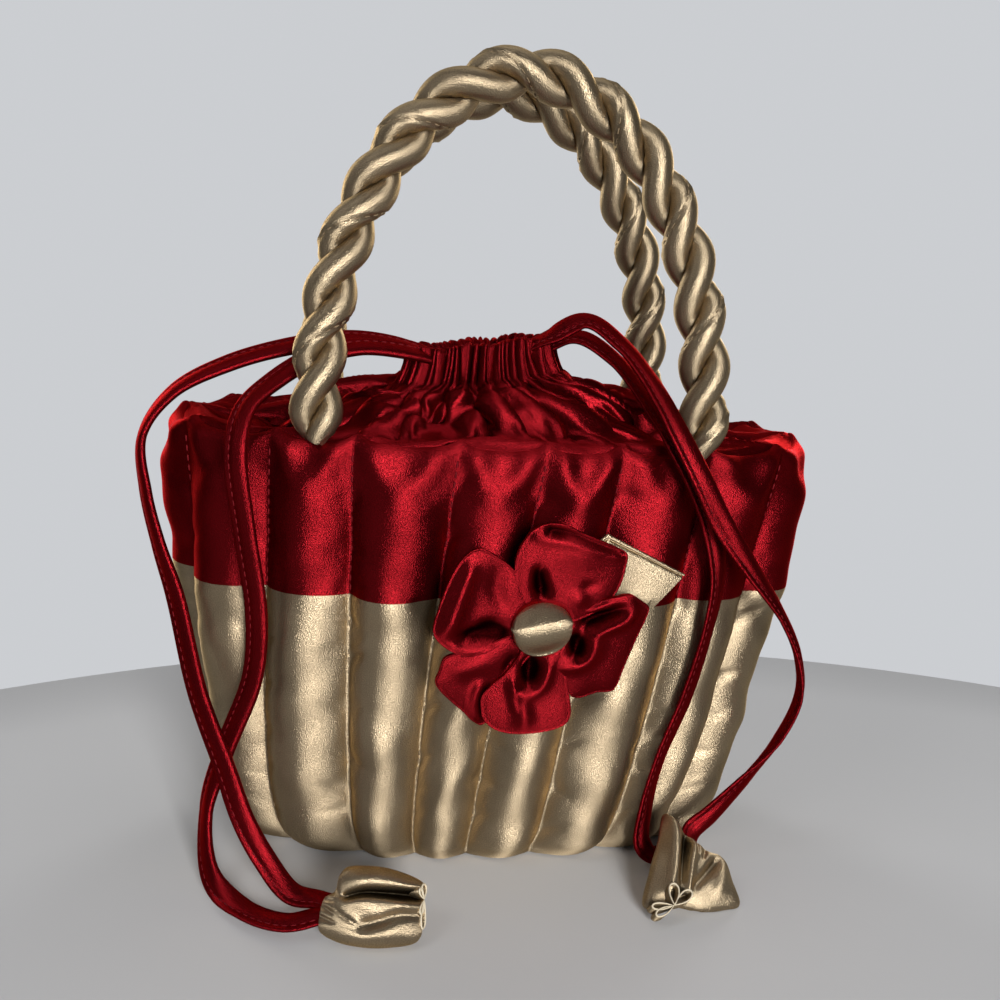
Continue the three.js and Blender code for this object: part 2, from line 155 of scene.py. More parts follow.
def grid_piece(name, points, material, around=False, loop=False, caps=False):
    """A piece from rows of points, with its cloth coordinates in metres.

    around joins the ends of each row, loop joins the last row to the first, caps closes the end rows."""
    rows, columns = points.shape[:2]
    row_steps = np.arange(rows if loop else rows - 1)
    column_steps = np.arange(columns if around else columns - 1)
    i, j = np.meshgrid(row_steps, column_steps, indexing="ij")
    i2 = (i + 1) % rows
    j2 = (j + 1) % columns
    corners = [i * columns + j, i * columns + j2, i2 * columns + j2, i2 * columns + j]
    faces = np.stack(corners, -1).reshape(-1, 4).tolist()
    if caps:
        faces.append(list(range(columns))[::-1])
        faces.append(list(range((rows - 1) * columns, rows * columns)))
    piece = add_mesh(name, points.reshape(-1, 3), faces, material)
    wrapped = np.concatenate([points, points[:, :1]], 1)
    across = np.linalg.norm(np.diff(wrapped, axis=1), axis=2).mean(0)
    u = np.concatenate([[0], np.cumsum(across)])
    looped = np.concatenate([points, points[:1]], 0)
    down = np.linalg.norm(np.diff(looped, axis=0), axis=2).mean(1)
    v = np.concatenate([[0], np.cumsum(down)])
    uv = np.stack(
        [
            np.stack([u[j], v[i]], -1),
            np.stack([u[j + 1], v[i]], -1),
            np.stack([u[j + 1], v[i + 1]], -1),
            np.stack([u[j], v[i + 1]], -1),
        ],
        2,
    ).reshape(-1, 2)
    layer = piece.data.uv_layers.new(name="cloth")
    flat = np.zeros((len(piece.data.loops), 2))
    flat[:len(uv)] = uv
    layer.data.foreach_set("uv", flat.ravel())
    return piece


def lay_flat(piece, across, along):
    """Threads that run one way over a whole piece: its cloth coordinates as seen square on."""
    places = np.zeros(len(piece.data.vertices) * 3)
    piece.data.vertices.foreach_get("co", places)
    corners = np.zeros(len(piece.data.loops), int)
    piece.data.loops.foreach_get("vertex_index", corners)
    uv = places.reshape(-1, 3)[corners] @ np.stack([across, along], 1)
    piece.data.uv_layers["cloth"].data.foreach_set("uv", uv.ravel())


def smoothed(piece, levels=1):
    subdivision = piece.modifiers.new("smooth", "SUBSURF")
    subdivision.levels = levels
    subdivision.render_levels = levels
    return piece


def stitch_piece(name, runs, material, length, gap, radius):
    """Rows of thread dashes laid along lines; each run is (points, outward directions)."""
    sides = 6
    rings = [(-0.5, 0.25), (-0.3, 1.0), (0.3, 1.0), (0.5, 0.25)]
    vertices = []
    faces = []
    for line, outward in runs:
        run = np.concatenate([[0], np.cumsum(np.linalg.norm(np.diff(line, axis=0), axis=1))])
        for middle in np.arange(length, run[-1] - length / 2, length + gap):
            ends = [middle - length / 2, middle + length / 2]
            low, high = [np.array([np.interp(e, run, line[:, k]) for k in range(3)]) for e in ends]
            out = np.array([np.interp(middle, run, outward[:, k]) for k in range(3)])
            along = high - low
            out = out - along * (out @ along) / (along @ along)
            out = out / np.linalg.norm(out)
            side = np.cross(along / np.linalg.norm(along), out)
            start = len(vertices)
            for place, size in rings:
                centre = (low + high) / 2 + along * place
                for k in range(sides):
                    turn = 2 * math.pi * k / sides
                    vertices.append(centre + radius * size * (math.cos(turn) * side + math.sin(turn) * out))
            for r in range(len(rings) - 1):
                for k in range(sides):
                    a = start + r * sides + k
                    b = start + r * sides + (k + 1) % sides
                    faces.append([a, b, b + sides, a + sides])
            faces.append([start + k for k in range(sides)][::-1])
            faces.append([start + (len(rings) - 1) * sides + k for k in range(sides)])
    return add_mesh(name, np.array(vertices), faces, material)


def settle_cloth(name, points, cut, pinned, frames, pressure, bending, gravity=0.0):
    """Rows of points after they settle as cloth that was cut to the size of the points in cut."""
    piece = grid_piece(name, points, bpy.data.materials.new(name), around=True)
    piece.shape_key_add(name="sewn")
    cut_key = piece.shape_key_add(name="cut")
    cut_key.data.foreach_set("co", cut.ravel())
    held = piece.vertex_groups.new(name="held")
    held.add([int(v) for v in pinned], 1.0, "REPLACE")
    cloth = piece.modifiers.new("cloth", "CLOTH")
    settings = cloth.settings
    settings.quality = 6
    settings.mass = 0.15
    settings.vertex_group_mass = "held"
    settings.rest_shape_key = cut_key
    settings.tension_stiffness = 20
    settings.compression_stiffness = 20
    settings.shear_stiffness = 8
    settings.bending_stiffness = bending
    settings.tension_damping = 10
    settings.compression_damping = 10
    settings.shear_damping = 10
    settings.bending_damping = 1
    settings.use_pressure = pressure != 0
    settings.uniform_pressure_force = pressure
    settings.effector_weights.gravity = gravity
    cloth.collision_settings.use_collision = False
    cloth.collision_settings.use_self_collision = False
    for step in range(1, frames + 1):
        scene.frame_set(step)
    graph = bpy.context.evaluated_depsgraph_get()
    settled = piece.evaluated_get(graph).data
    result = np.zeros(len(settled.vertices) * 3)
    settled.vertices.foreach_get("co", result)
    bpy.data.objects.remove(piece)
    scene.frame_set(1)
    return result.reshape(points.shape)


# Materials

def noise(nodes, links, source, scale, detail):
    texture = nodes.new("ShaderNodeTexNoise")
    texture.inputs["Scale"].default_value = scale
    texture.inputs["Detail"].default_value = detail
    links.new(source, texture.inputs["Vector"])
    return texture


def tone_ramp(nodes, links, texture, low, high):
    """Colours between low and high by a texture; each of the two is (position, colour)."""
    ramp = nodes.new("ShaderNodeValToRGB")
    for element, (position, colour) in zip(ramp.color_ramp.elements, (low, high)):
        element.position = position
        element.color = (*colour, 1)
    links.new(texture.outputs["Fac"], ramp.inputs["Fac"])
    return ramp


def scaled(colour, factor):
    return tuple(factor * part for part in colour)


def satin(name, colour, roughness):
    """Satin: lustre along the threads, soft mottling, a fine speckled weave, a little crushing, and painted shade
    darkening the colour in the hollows of folds.
    """
    material = bpy.data.materials.new(name)
    material.use_nodes = True
    nodes = material.node_tree.nodes
    links = material.node_tree.links
    shader = nodes["Principled BSDF"]
    shader.inputs["Metallic"].default_value = SATIN_METALLIC
    shader.inputs["Specular IOR Level"].default_value = 0.15
    shader.inputs["Specular Tint"].default_value = (*scaled(colour, 1 / max(colour)), 1)
    shader.inputs["Anisotropic"].default_value = 0.95
    shader.inputs["Anisotropic Rotation"].default_value = 0.25
    place = nodes.new("ShaderNodeTexCoord")
    tangent = nodes.new("ShaderNodeTangent")
    tangent.direction_type = "UV_MAP"
    tangent.uv_map = "cloth"
    links.new(tangent.outputs["Tangent"], shader.inputs["Tangent"])

    threads = nodes.new("ShaderNodeMapping")
    threads.inputs["Scale"].default_value = (2600, 2200, 1)
    links.new(place.outputs["UV"], threads.inputs["Vector"])
    weave = noise(nodes, links, threads.outputs["Vector"], 1, 1)
    weave.noise_dimensions = "2D"
    mottle = noise(nodes, links, place.outputs["Object"], 55, 4)
    tones = tone_ramp(nodes, links, mottle, (0.3, scaled(colour, 0.88)), (0.7, scaled(colour, 1.12)))
    glint = tone_ramp(nodes, links, weave, (0.36, (0.90, 0.90, 0.90)), (0.66, (1.10, 1.10, 1.10)))
    speckled = nodes.new("ShaderNodeVectorMath")
    speckled.operation = "MULTIPLY"
    links.new(tones.outputs["Color"], speckled.inputs[0])
    links.new(glint.outputs["Color"], speckled.inputs[1])
    # Painted shade: where a piece marks the hollows of its pressed-in folds, the colour is darkened down to 6 %,
    # standing in for the shade there.
    painted_pocket_shade = nodes.new("ShaderNodeAttribute")
    painted_pocket_shade.attribute_name = "painted_pocket_shade"
    lit = nodes.new("ShaderNodeMapRange")
    lit.inputs["To Min"].default_value = 1.0
    lit.inputs["To Max"].default_value = 0.06
    links.new(painted_pocket_shade.outputs["Fac"], lit.inputs["Value"])
    shaded = nodes.new("ShaderNodeVectorMath")
    shaded.operation = "SCALE"
    links.new(speckled.outputs["Vector"], shaded.inputs[0])
    links.new(lit.outputs["Result"], shaded.inputs["Scale"])
    links.new(shaded.outputs["Vector"], shader.inputs["Base Color"])

    lustre = nodes.new("ShaderNodeMapRange")
    lustre.inputs["From Min"].default_value = 0.3
    lustre.inputs["From Max"].default_value = 0.7
    lustre.inputs["To Min"].default_value = roughness + 0.04
    lustre.inputs["To Max"].default_value = roughness - 0.04
    links.new(weave.outputs["Fac"], lustre.inputs["Value"])
    links.new(lustre.outputs["Result"], shader.inputs["Roughness"])

    crush = noise(nodes, links, place.outputs["Object"], 170, 3)
    crush.inputs["Distortion"].default_value = 0.6
    crushed = nodes.new("ShaderNodeBump")
    crushed.inputs["Strength"].default_value = 0.07
    crushed.inputs["Distance"].default_value = 0.0006
    links.new(crush.outputs["Fac"], crushed.inputs["Height"])
    woven = nodes.new("ShaderNodeBump")
    woven.inputs["Strength"].default_value = 0.7
    woven.inputs["Distance"].default_value = 0.00018
    links.new(weave.outputs["Fac"], woven.inputs["Height"])
    links.new(crushed.outputs["Normal"], woven.inputs["Normal"])
    links.new(woven.outputs["Normal"], shader.inputs["Normal"])
    return material


def matt(name, colour, roughness, gloss, scale, evenness):
    """A matt surface with small changes of tone: thread plies, or the grain of the table."""
    material = bpy.data.materials.new(name)
    material.use_nodes = True
    nodes = material.node_tree.nodes
    links = material.node_tree.links
    shader = nodes["Principled BSDF"]
    shader.inputs["Roughness"].default_value = roughness
    shader.inputs["Specular IOR Level"].default_value = gloss
    place = nodes.new("ShaderNodeTexCoord")
    grain = noise(nodes, links, place.outputs["Object"], scale, 4)
    tones = tone_ramp(nodes, links, grain, (0.3, scaled(colour, evenness)), (0.7, colour))
    links.new(tones.outputs["Color"], shader.inputs["Base Color"])
    return material


SATIN_METALLIC = 0.94
RED_SATIN = satin("red_satin", (0.145, 0.0043, 0.0068), 0.40)
COLLAR_SATIN = satin("collar_satin", (0.127, 0.0036, 0.0058), 0.38)
GOLD_SATIN = satin("gold_satin", (0.325, 0.254, 0.164), 0.41)
RED_THREAD = matt("red_thread", (0.12, 0.004, 0.007), 0.6, 0.08, 900, 0.7)
GOLD_EDGE = matt("gold_folded_edge", (0.50, 0.43, 0.31), 0.5, 0.3, 900, 0.85)
GOLD_THREAD = matt("gold_thread", (0.17, 0.125, 0.075), 0.6, 0.08, 900, 0.7)


# Quilted wall

PER_CHANNEL = 16
COLUMNS = CHANNELS * PER_CHANNEL
PUFF = 0.0076
SEAM_INSET = 0.0034

TURNS = np.linspace(-math.pi / 2, 3 * math.pi / 2, 2881)


def oval(turn, half_length, half_depth):
    c = np.cos(turn)
    s = np.sin(turn)
    x = half_length * np.sign(c) * np.abs(c) ** (2 / OUTLINE_POWER)
    y = half_depth * np.sign(s) * np.abs(s) ** (2 / OUTLINE_POWER)
    return x, y


RIM_X, RIM_Y = oval(TURNS, RIM_HALF_LENGTH, RIM_HALF_DEPTH)
RIM_RUN = np.concatenate([[0], np.cumsum(np.hypot(np.diff(RIM_X), np.diff(RIM_Y)))])


def wall_points(share, z, out):
    """Points at shares of the way round the wall from the front centre, at height z, pushed out by out."""
    turn = np.interp(np.mod(share, 1) * RIM_RUN[-1], RIM_RUN, TURNS)
    bowl = np.clip(z / WALL_HEIGHT, 0, 1) ** BOWL_POWER
    half_length = BASE_HALF_LENGTH + (RIM_HALF_LENGTH - BASE_HALF_LENGTH) * bowl
    half_depth = BASE_HALF_DEPTH + (RIM_HALF_DEPTH - BASE_HALF_DEPTH) * bowl
    x, y = oval(turn, half_length + out, half_depth + out)
    return np.stack([x, y, np.broadcast_to(z, x.shape)], -1)


def seam_share(seam, z):
    height = np.clip(z / WALL_HEIGHT, 0, 1)
    rim = np.array(SEAM_RIM_SHIFT)[seam % CHANNELS]
    base = np.array(SEAM_BASE_SHIFT)[seam % CHANNELS]
    lean = SEAM_PHASE - SEAM_TWIST * (1 - height) + base + (rim - base) * height
    return (seam + lean) / CHANNELS


STEP = np.arange(PER_CHANNEL) / PER_CHANNEL
ACROSS = np.tile(STEP - 0.35 * np.sin(2 * math.pi * STEP) / (2 * math.pi), CHANNELS)
CHANNEL = np.repeat(np.arange(CHANNELS), PER_CHANNEL)
CREST = np.sin(math.pi * ACROSS) ** 0.78


def crest(z):
    """Fullness across each channel: one swell, which parts below the rim into folds towards its two seams."""
    parted = 0.9 * float(ease(0.130, 0.153, z))
    fold = 0.5 - 0.36 * parted
    width = 0.24 - 0.08 * parted
    folds = np.exp(-((ACROSS - fold) / width) ** 2) + np.exp(-((1 - ACROSS - fold) / width) ** 2)
    return CREST + (folds * np.sin(math.pi * ACROSS) ** 0.6 - CREST) * parted


def wall_row(z, out, swell):
    left = seam_share(CHANNEL, z)
    right = seam_share(CHANNEL + 1, z)
    fullness = 1 + 0.12 * np.sin(CHANNEL * 2.4 + 9 * z / WALL_HEIGHT)
    share = left + (right - left) * ACROSS
    return wall_points(share, z, out + swell * fullness * crest(z))


def wall_rows():
    """Rows up the wall: turned under at the base, up the padded channels, and rolled over the rim."""
    rows = []
    for k in range(3):
        rows.append(wall_row(0.0006, -0.0085 + 0.0028 * k, 0.0003 + 0.0012 * k))
    heights = np.concatenate([
        np.linspace(0.0012, 0.012, 7)[:-1],
        np.linspace(0.012, COLOUR_SEAM_HEIGHT, 55)[:-1],
        np.linspace(COLOUR_SEAM_HEIGHT, 0.1515, 22),
    ])
    colour_row = 3 + 6 + 54
    for z in heights:
        flat = float(ease(0.112, 0.152, z))
        inset = SEAM_INSET + (0.0016 - SEAM_INSET) * flat
        swell = PUFF * min(1, 0.42 + z / 0.012) * (1 - 0.55 * flat)
        row = wall_row(z, -inset, swell)
        row[:, 2] += rim_scallop(z) + 0.0026 * (1 - CREST) * float(ease(0.016, 0.0, z))
        rows.append(row)
    for z, out, swell in (
        (0.1534, -0.0021, 0.0024), (0.1547, -0.0031, 0.0018), (0.1552, -0.0044, 0.0012),
        (0.1548, -0.0057, 0.0006), (0.1534, -0.0067, 0.0002), (0.1512, -0.0071, 0.0),
    ):
        row = wall_row(z, out, swell)
        row[:, 2] += rim_scallop(WALL_HEIGHT)
        rows.append(row)
    return np.array(rows), colour_row


def rim_scallop(z):
    """The rim stands in a small point at each seam and dips between the seams."""
    peak = np.exp(-(np.minimum(ACROSS, 1 - ACROSS) / 0.09) ** 2)
    return float(ease(0.136, 0.155, z)) * (0.0012 * peak - 0.0024 * CREST)


DENTS = [(0.046, 0.00050), (0.027, 0.00042), (0.0165, 0.00026)]


def wall_dents(rows):
    """Soft dents down each channel and short puckers beside its seams, as distances outward."""
    rng = np.random.default_rng(7)
    z = rows[:, :, 2]
    depth = np.zeros_like(z)
    for wave, size in DENTS:
        phase = rng.random(CHANNELS)[CHANNEL]
        drift = rng.normal(0, 0.35, CHANNELS)[CHANNEL]
        slope = np.cos(math.pi * (ACROSS - 0.5)) * np.sin(2 * math.pi * (z / wave + phase + drift * ACROSS))
        depth += size * slope
    for edge, seed, most in ((ACROSS, 21, 0.0021), (1 - ACROSS, 22, 0.0010)):
        rng = np.random.default_rng(seed)
        for channel in range(CHANNELS):
            mine = CHANNEL == channel
            for height in np.cumsum(rng.uniform(0.006, 0.022, 12)):
                tall = rng.uniform(0.0016, 0.0036)
                reach = rng.uniform(0.10, 0.24)
                deep = most * rng.uniform(0.2, 1.0)
                slant = rng.uniform(-0.02, 0.03)
                beside = edge[mine] / reach
                narrowing = 1.5 - np.minimum(beside, 1.1)
                level = (z[:, mine] - height - slant * edge[mine]) / (tall * narrowing)
                depth[:, mine] -= deep * np.exp(-level ** 2) * 2.3 * beside * np.exp(-beside ** 2)
    shown = ease(0.004, 0.014, z) * ease(0.153, 0.140, z)
    return depth * shown


def creased(piece, columns, row):
    """Keeps one row of a piece's grid sharp when it is smoothed and shaded."""
    ends = np.zeros(len(piece.data.edges) * 2, int)
    piece.data.edges.foreach_get("vertices", ends)
    on_row = (ends.reshape(-1, 2) // columns == row).all(1)
    crease = piece.data.attributes.new("crease_edge", "FLOAT", "EDGE")
    crease.data.foreach_set("value", on_row.astype(np.float32))
    sharp = piece.data.attributes.new("sharp_edge", "BOOLEAN", "EDGE")
    sharp.data.foreach_set("value", on_row)


def quilted_wall():
    rows, colour_row = wall_rows()
    count = len(rows)
    index = np.arange(count * COLUMNS).reshape(count, COLUMNS)
    held = np.zeros((count, COLUMNS), bool)
    held[:, ::PER_CHANNEL] = True
    held[:2] = True
    held[-1] = True
    cut = rows * np.array([1.006, 1.006, 1.025])
    rows = settle_cloth("wall_cloth", rows, cut, index[held], 12, 1.2, 0.5)
    outward = unit(rows * np.array([1 / 0.115 ** 2, 1 / 0.05 ** 2, 0]))
    rows = rows + outward * wall_dents(rows)[:, :, None]
    rows[:, :, 2] = np.maximum(rows[:, :, 2], 0.0004)
    seam_lines = rows[:, ::PER_CHANNEL].copy()
    lip = wall_row(COLOUR_SEAM_HEIGHT, -WALL_BACK, 0)[None]
    gold_rows = np.concatenate([rows[:colour_row + 1], lip])
    gold = grid_piece("quilted_gold_band", gold_rows, GOLD_SATIN, around=True, loop=True)
    creased(gold, COLUMNS, colour_row)
    red_rows = np.concatenate([rows[colour_row:], lip])
    red = grid_piece("quilted_red_band", red_rows, RED_SATIN, around=True, loop=True)
    creased(red, COLUMNS, 0)
    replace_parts(smoothed(gold), "gold_wall_band")
    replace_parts(smoothed(red), "red_wall_band")
    for piece, slot in ((gold, "gold_satin"), (red, "red_satin")):
        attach(piece, "basket")
    return seam_lines, colour_row


def wall_stitches(seam_lines, colour_row):
    gold_runs = []
    red_runs = []
    for seam in range(CHANNELS):
        line = seam_lines[:, seam]
        outward = unit(line * np.array([1 / 0.115 ** 2, 1 / 0.05 ** 2, 0]))
        line = line + outward * 0.0004
        gold_runs.append((line[6:colour_row + 1], outward[6:colour_row + 1]))
        red_runs.append((line[colour_row:-7], outward[colour_row:-7]))
    for name, runs, material in (
        ("gold_quilting_stitches", gold_runs, GOLD_THREAD),
        ("red_quilting_stitches", red_runs, RED_THREAD),
    ):
        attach(stitch_piece(name, runs, material, 0.0023, 0.0011, 0.00030), "basket")


# Base panel and lining


def base_panel():
    rings = []
    turn = np.linspace(0, 2 * math.pi, 120, endpoint=False)
    inner_length = BASE_HALF_LENGTH - WALL_BACK
    inner_depth = BASE_HALF_DEPTH - WALL_BACK
    for share, z in (
        (0.03, 0.0009), (0.25, 0.0008), (0.5, 0.0006), (0.75, 0.0006), (0.9, 0.0003), (0.97, 0.0006),
        (1.0, 0.0020), (0.97, 0.0036), (0.9, 0.0040), (0.5, 0.0041), (0.03, 0.0041),
    ):
        x, y = oval(turn, inner_length * share, inner_depth * share)
        rings.append(np.stack([x, y, z + 0.00015 * np.sin(19 * turn) * share], -1))
    panel = grid_piece("padded_base_panel", np.array(rings), GOLD_SATIN, around=True, caps=True)
    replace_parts(smoothed(panel), "base_panel")
    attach(panel, "basket")


def lining():
    share = np.linspace(0, 1, 180, endpoint=False)
    rows = []
    floor = 0.0045
    for reach in (0.04, 0.4, 0.8):
        row = wall_points(share, 0.0045, -0.0079)
        row[:, :2] *= reach
        rows.append(row)
    heights = np.linspace(floor, 0.148, 26)
    for z in heights:
        rows.append(wall_points(share, z, -0.0077 - lining_fold(share, z)))
    for z in heights[::-1][:-1]:
        rows.append(wall_points(share, z, -0.0085 - lining_fold(share, z)))
    for reach in (0.8, 0.4, 0.04):
        row = wall_points(share, 0.0055, -0.0086)
        row[:, :2] *= reach
        rows.append(row)
    points = np.array(rows)
    piece = grid_piece("satin_lining", points, COLLAR_SATIN, around=True, caps=True)
    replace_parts(piece, "lining")
    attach(piece, "basket")


def lining_fold(share, z):
    hang = ease(0.0, 0.03, z) * ease(0.155, 0.12, z)
    return 0.0009 * hang * (1 + np.sin(2 * math.pi * 17 * share + 3 * wobble(share, 5)))


# Drawstring collar

NECK_CENTRE_X = -0.0078
NECK_HALF_LENGTH = 0.0250
NECK_HALF_DEPTH = 0.0098
CASING_FOOT = 0.1705
CASING_TOP = 0.1822
NECK_SLOPE = 0.15
COLLAR_FOOT = 0.1542
COLLAR_COLUMNS = 560


def ridge(phase, sharp):
    """Gathers: round ridges with narrow valleys, from -1 to 1."""
    return 2 * np.abs(np.cos(math.pi * phase)) ** sharp - 1


def uneven(share, count, seed):
    """Fold number at each share of the way round, for folds of uneven widths."""
    rng = np.random.default_rng(seed)
    widths = rng.uniform(0.55, 1.6, count)
    edges = np.concatenate([[0], np.cumsum(widths) / widths.sum()])
    return np.interp(share, edges, np.arange(count + 1))


def collar_rows():
    """Gathered rows from the rim in to the drawn neck, up its casing and over its rolled top."""
    share = np.arange(COLLAR_COLUMNS) / COLLAR_COLUMNS
    rim_turn = np.interp(share * RIM_RUN[-1], RIM_RUN, TURNS)
    rim_x, rim_y = oval(rim_turn, RIM_HALF_LENGTH - 0.0046, RIM_HALF_DEPTH - 0.0046)
    rim_share = seam_share(CHANNEL, WALL_HEIGHT) + ACROSS / CHANNELS
    rim_dip = np.interp(share, rim_share, rim_scallop(WALL_HEIGHT), period=1)
    neck_x, neck_y = oval(rim_turn, NECK_HALF_LENGTH, NECK_HALF_DEPTH)
    neck_foot = CASING_FOOT + NECK_SLOPE * neck_x
    shoulder = 0.0080 * ease(0.55, 0.97, np.abs(neck_x) / NECK_HALF_LENGTH)
    neck_x = neck_x + NECK_CENTRE_X
    fine = uneven(share, 52, 11) + 0.35 * wobble(share * 9, 19, 5)
    middle = uneven(share, 27, 12)
    broad = uneven(share, 14, 13)
    pleat_depth = np.random.default_rng(17).uniform(0.0005, 0.0021, 60)[np.floor(fine).astype(int) % 52]
    bumps = 0.0006 * wobble(share * 7, 15, 6) + 0.0007 * ridge(fine, 0.7)
    bulge = 0.0011 * wobble(share * 6, 18, 5)
    start = 0.62 + 0.14 * wobble(share * 2, 16, 6)
    levels = [(v, 0.0, 0.0, 0.0) for v in np.linspace(0, 1, 42)]
    levels += [(1.0, above, 0.0, 0.0) for above in np.linspace(0.1, 1, 10)]
    levels += [(1.0, 1.0, -0.0008, 0.0003), (1.0, 1.0, -0.0022, 0.0002)]
    levels += [(1.0, 1.0, -0.0038, -0.0008), (1.0, 1.0, -0.0052, -0.0026)]
    rows = []
    for v, above, roll_in, roll_up in levels:
        x = rim_x + (neck_x - rim_x) * v
        y = rim_y + (neck_y - rim_y) * v
        rise = 0.78 * (1 - (1 - v) ** 2) + 0.22 * v ** 5
        z = COLLAR_FOOT + rim_dip * (1 - v) ** 4
        z = z + (neck_foot - COLLAR_FOOT) * rise + (CASING_TOP - CASING_FOOT) * above
        z = z + shoulder * ease(0.1, 0.65, v) * (1 - ease(0.8, 1.0, v))
        radial = unit(np.stack([x - NECK_CENTRE_X * v, y * 2.2], -1))
        swing = 0.55 * wobble(share * 5 + 0.9 * v, 14, 4) * math.sin(math.pi * v)
        near_neck = ease(start - 0.25, start + 0.15, v)
        drift = above * 0.9 * wobble(share * 4, 23, 5)
        folds = pleat_depth * near_neck * ridge(fine + 0.4 * swing + drift, 0.8)
        folds = folds + 0.0046 * ease(0.12, 0.5, v) * ease(1.05, 0.7, v) * ridge(middle + swing, 0.85)
        folds = folds + 0.0030 * ease(0.0, 0.22, v) * ease(0.8, 0.35, v) * ridge(broad + 0.7 * swing, 1.1)
        lean = 0.0032 * ease(0.1, 0.45, v) * ease(1.0, 0.7, v) * np.sin(2 * math.pi * (middle + swing))
        flare = 0.0034 * (1 - above) ** 2 * ease(0.7, 1.0, v)
        outward = folds * (0.3 + 0.7 * ease(0.7, 1.0, v)) + flare + roll_in + bulge * near_neck
        x = x + radial[:, 0] * outward - radial[:, 1] * lean
        y = y + radial[:, 1] * outward + radial[:, 0] * lean
        z = z + folds * (1 - 0.85 * ease(0.7, 1.0, v)) + above * bumps + roll_up
        rows.append(np.stack([x, y, z], -1))
    return np.array(rows)


def collar():
    rows = collar_rows()
    count = len(rows)
    index = np.arange(count * COLLAR_COLUMNS).reshape(count, COLLAR_COLUMNS)
    held = np.concatenate([index[:2].ravel(), index[41:].ravel()])
    centre = np.array([NECK_CENTRE_X, 0, COLLAR_FOOT])
    cut = centre + (rows - centre) * 1.07
    rows = settle_cloth("collar_cloth", rows, cut, held, 9, 0.35, 0.08, gravity=0.3)
    piece = grid_piece("gathered_collar", rows, COLLAR_SATIN, around=True)
    shell = piece.modifiers.new("cloth", "SOLIDIFY")
    shell.thickness = 0.0005
    shell.offset = 0
    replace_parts(piece, "drawstring_collar")
    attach(piece, "basket")


# Twisted handles

FOOT_HALF_SPAN = 0.064
FOOT_Y = 0.03968
HINGE_HEIGHT = 0.1601
FOOT_DROP = 0.0072
HANDLE_RISE = 0.111
STRAND_RADIUS = 0.0045
STRAND_OFFSET = 0.0041
TWIST_PITCH = 0.0365
STRAND_SIDES = 28
FOOT_TAPER = 0.010
HANDLE_SHAPE = [
    (1.0, 0.0), (0.995, 0.14), (0.97, 0.28), (0.895, 0.47), (0.765, 0.65), (0.54, 0.84), (0.235, 0.965),
]


def handle_line(side, lean):
    """Middle line of a handle from its left foot to its right foot."""
    half = [(1.0, -FOOT_DROP / HANDLE_RISE)] + HANDLE_SHAPE
    shape = [(-x, h) for x, h in half] + [(0.0, 1.0)] + half[::-1]
    points = []
    for x, h in shape:
        inward = lean * max(0, h)
        points.append((x * FOOT_HALF_SPAN, side * (FOOT_Y - inward), HINGE_HEIGHT + h * HANDLE_RISE))
    return smooth_line(points, 0.0008)


def strand(name, line, start_turn, upright, seam_turn):
    along = unit(np.gradient(line, axis=0))
    facing = np.cross(np.array([1.0, 0.0, 0.0]), upright)
    across = np.cross(along, facing)
    run = np.concatenate([[0], np.cumsum(np.linalg.norm(np.diff(line, axis=0), axis=1))])
    from_end = np.minimum(run, run[-1] - run)
    fullness = 0.5 + 0.5 * np.sin(np.clip(from_end / FOOT_TAPER, 0, 1) * math.pi / 2)
    turn = start_turn + 2 * math.pi * run / TWIST_PITCH
    out = facing * np.cos(turn)[:, None] + across * np.sin(turn)[:, None]
    centre = line + out * (STRAND_OFFSET * fullness)[:, None]
    heading = unit(np.gradient(centre, axis=0))
    out = unit(out - heading * (out * heading).sum(1, keepdims=True))
    side = np.cross(heading, out)
    section = np.linspace(0, 2 * math.pi, STRAND_SIDES, endpoint=False)
    points = []
    for i in range(len(line)):
        away = np.abs((section - seam_turn + math.pi) % (2 * math.pi) - math.pi)
        pucker = 0.00016 * math.sin(2 * math.pi * run[i] / 0.0034) * np.exp(-(away / 0.5) ** 2)
        crease = 0.00009 * math.sin(2 * math.pi * run[i] / 0.0051 + 2.0) * (1 - np.cos(section)) / 2
        groove = 0.00060 * np.exp(-(away / 0.11) ** 2) - 0.00022 * np.exp(-((away - 0.26) / 0.12) ** 2)
        radius = STRAND_RADIUS * (0.35 + 0.65 * fullness[i]) + pucker + crease - groove
        inward = np.maximum(radius * np.cos(section), 0.00008 - STRAND_OFFSET * fullness[i])
        spread = radius * np.sin(section) * (1 + 0.06 * np.sin(section) ** 2)
        points.append(centre[i] + out[i] * inward[:, None] + side[i] * spread[:, None])
    piece = grid_piece(name, np.array(points), GOLD_SATIN, around=True, caps=True)
    seam_out = out * math.cos(seam_turn) + side * math.sin(seam_turn)
    return piece, (centre + seam_out * (STRAND_RADIUS - 0.00028), seam_out)


def handle(word, side, lean):
    body = word + "_handle"
    line = handle_line(side, lean)
    upright = unit(np.array([0.0, -side * lean, HANDLE_RISE]))
    if side > 0:
        upright = unit(np.array([0.0, -lean, HANDLE_RISE]))
    runs = []
    for letter, start_turn, seam_turn in (("a", 0.0, 0.72), ("b", math.pi, 2.4)):
        piece, seam = strand(body + "_tube_" + letter, line, start_turn, upright, seam_turn)
        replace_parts(piece, body + "_strand_" + letter)
        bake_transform(piece)
        above = seam[0][:, 2] > HINGE_HEIGHT + 0.0105
        if letter == "a":
            runs.append((seam[0][above], seam[1][above]))
    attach(stitch_piece(body + "_seam_stitches", runs, GOLD_THREAD, 0.0021, 0.0012, 0.00026), body)


# Flower

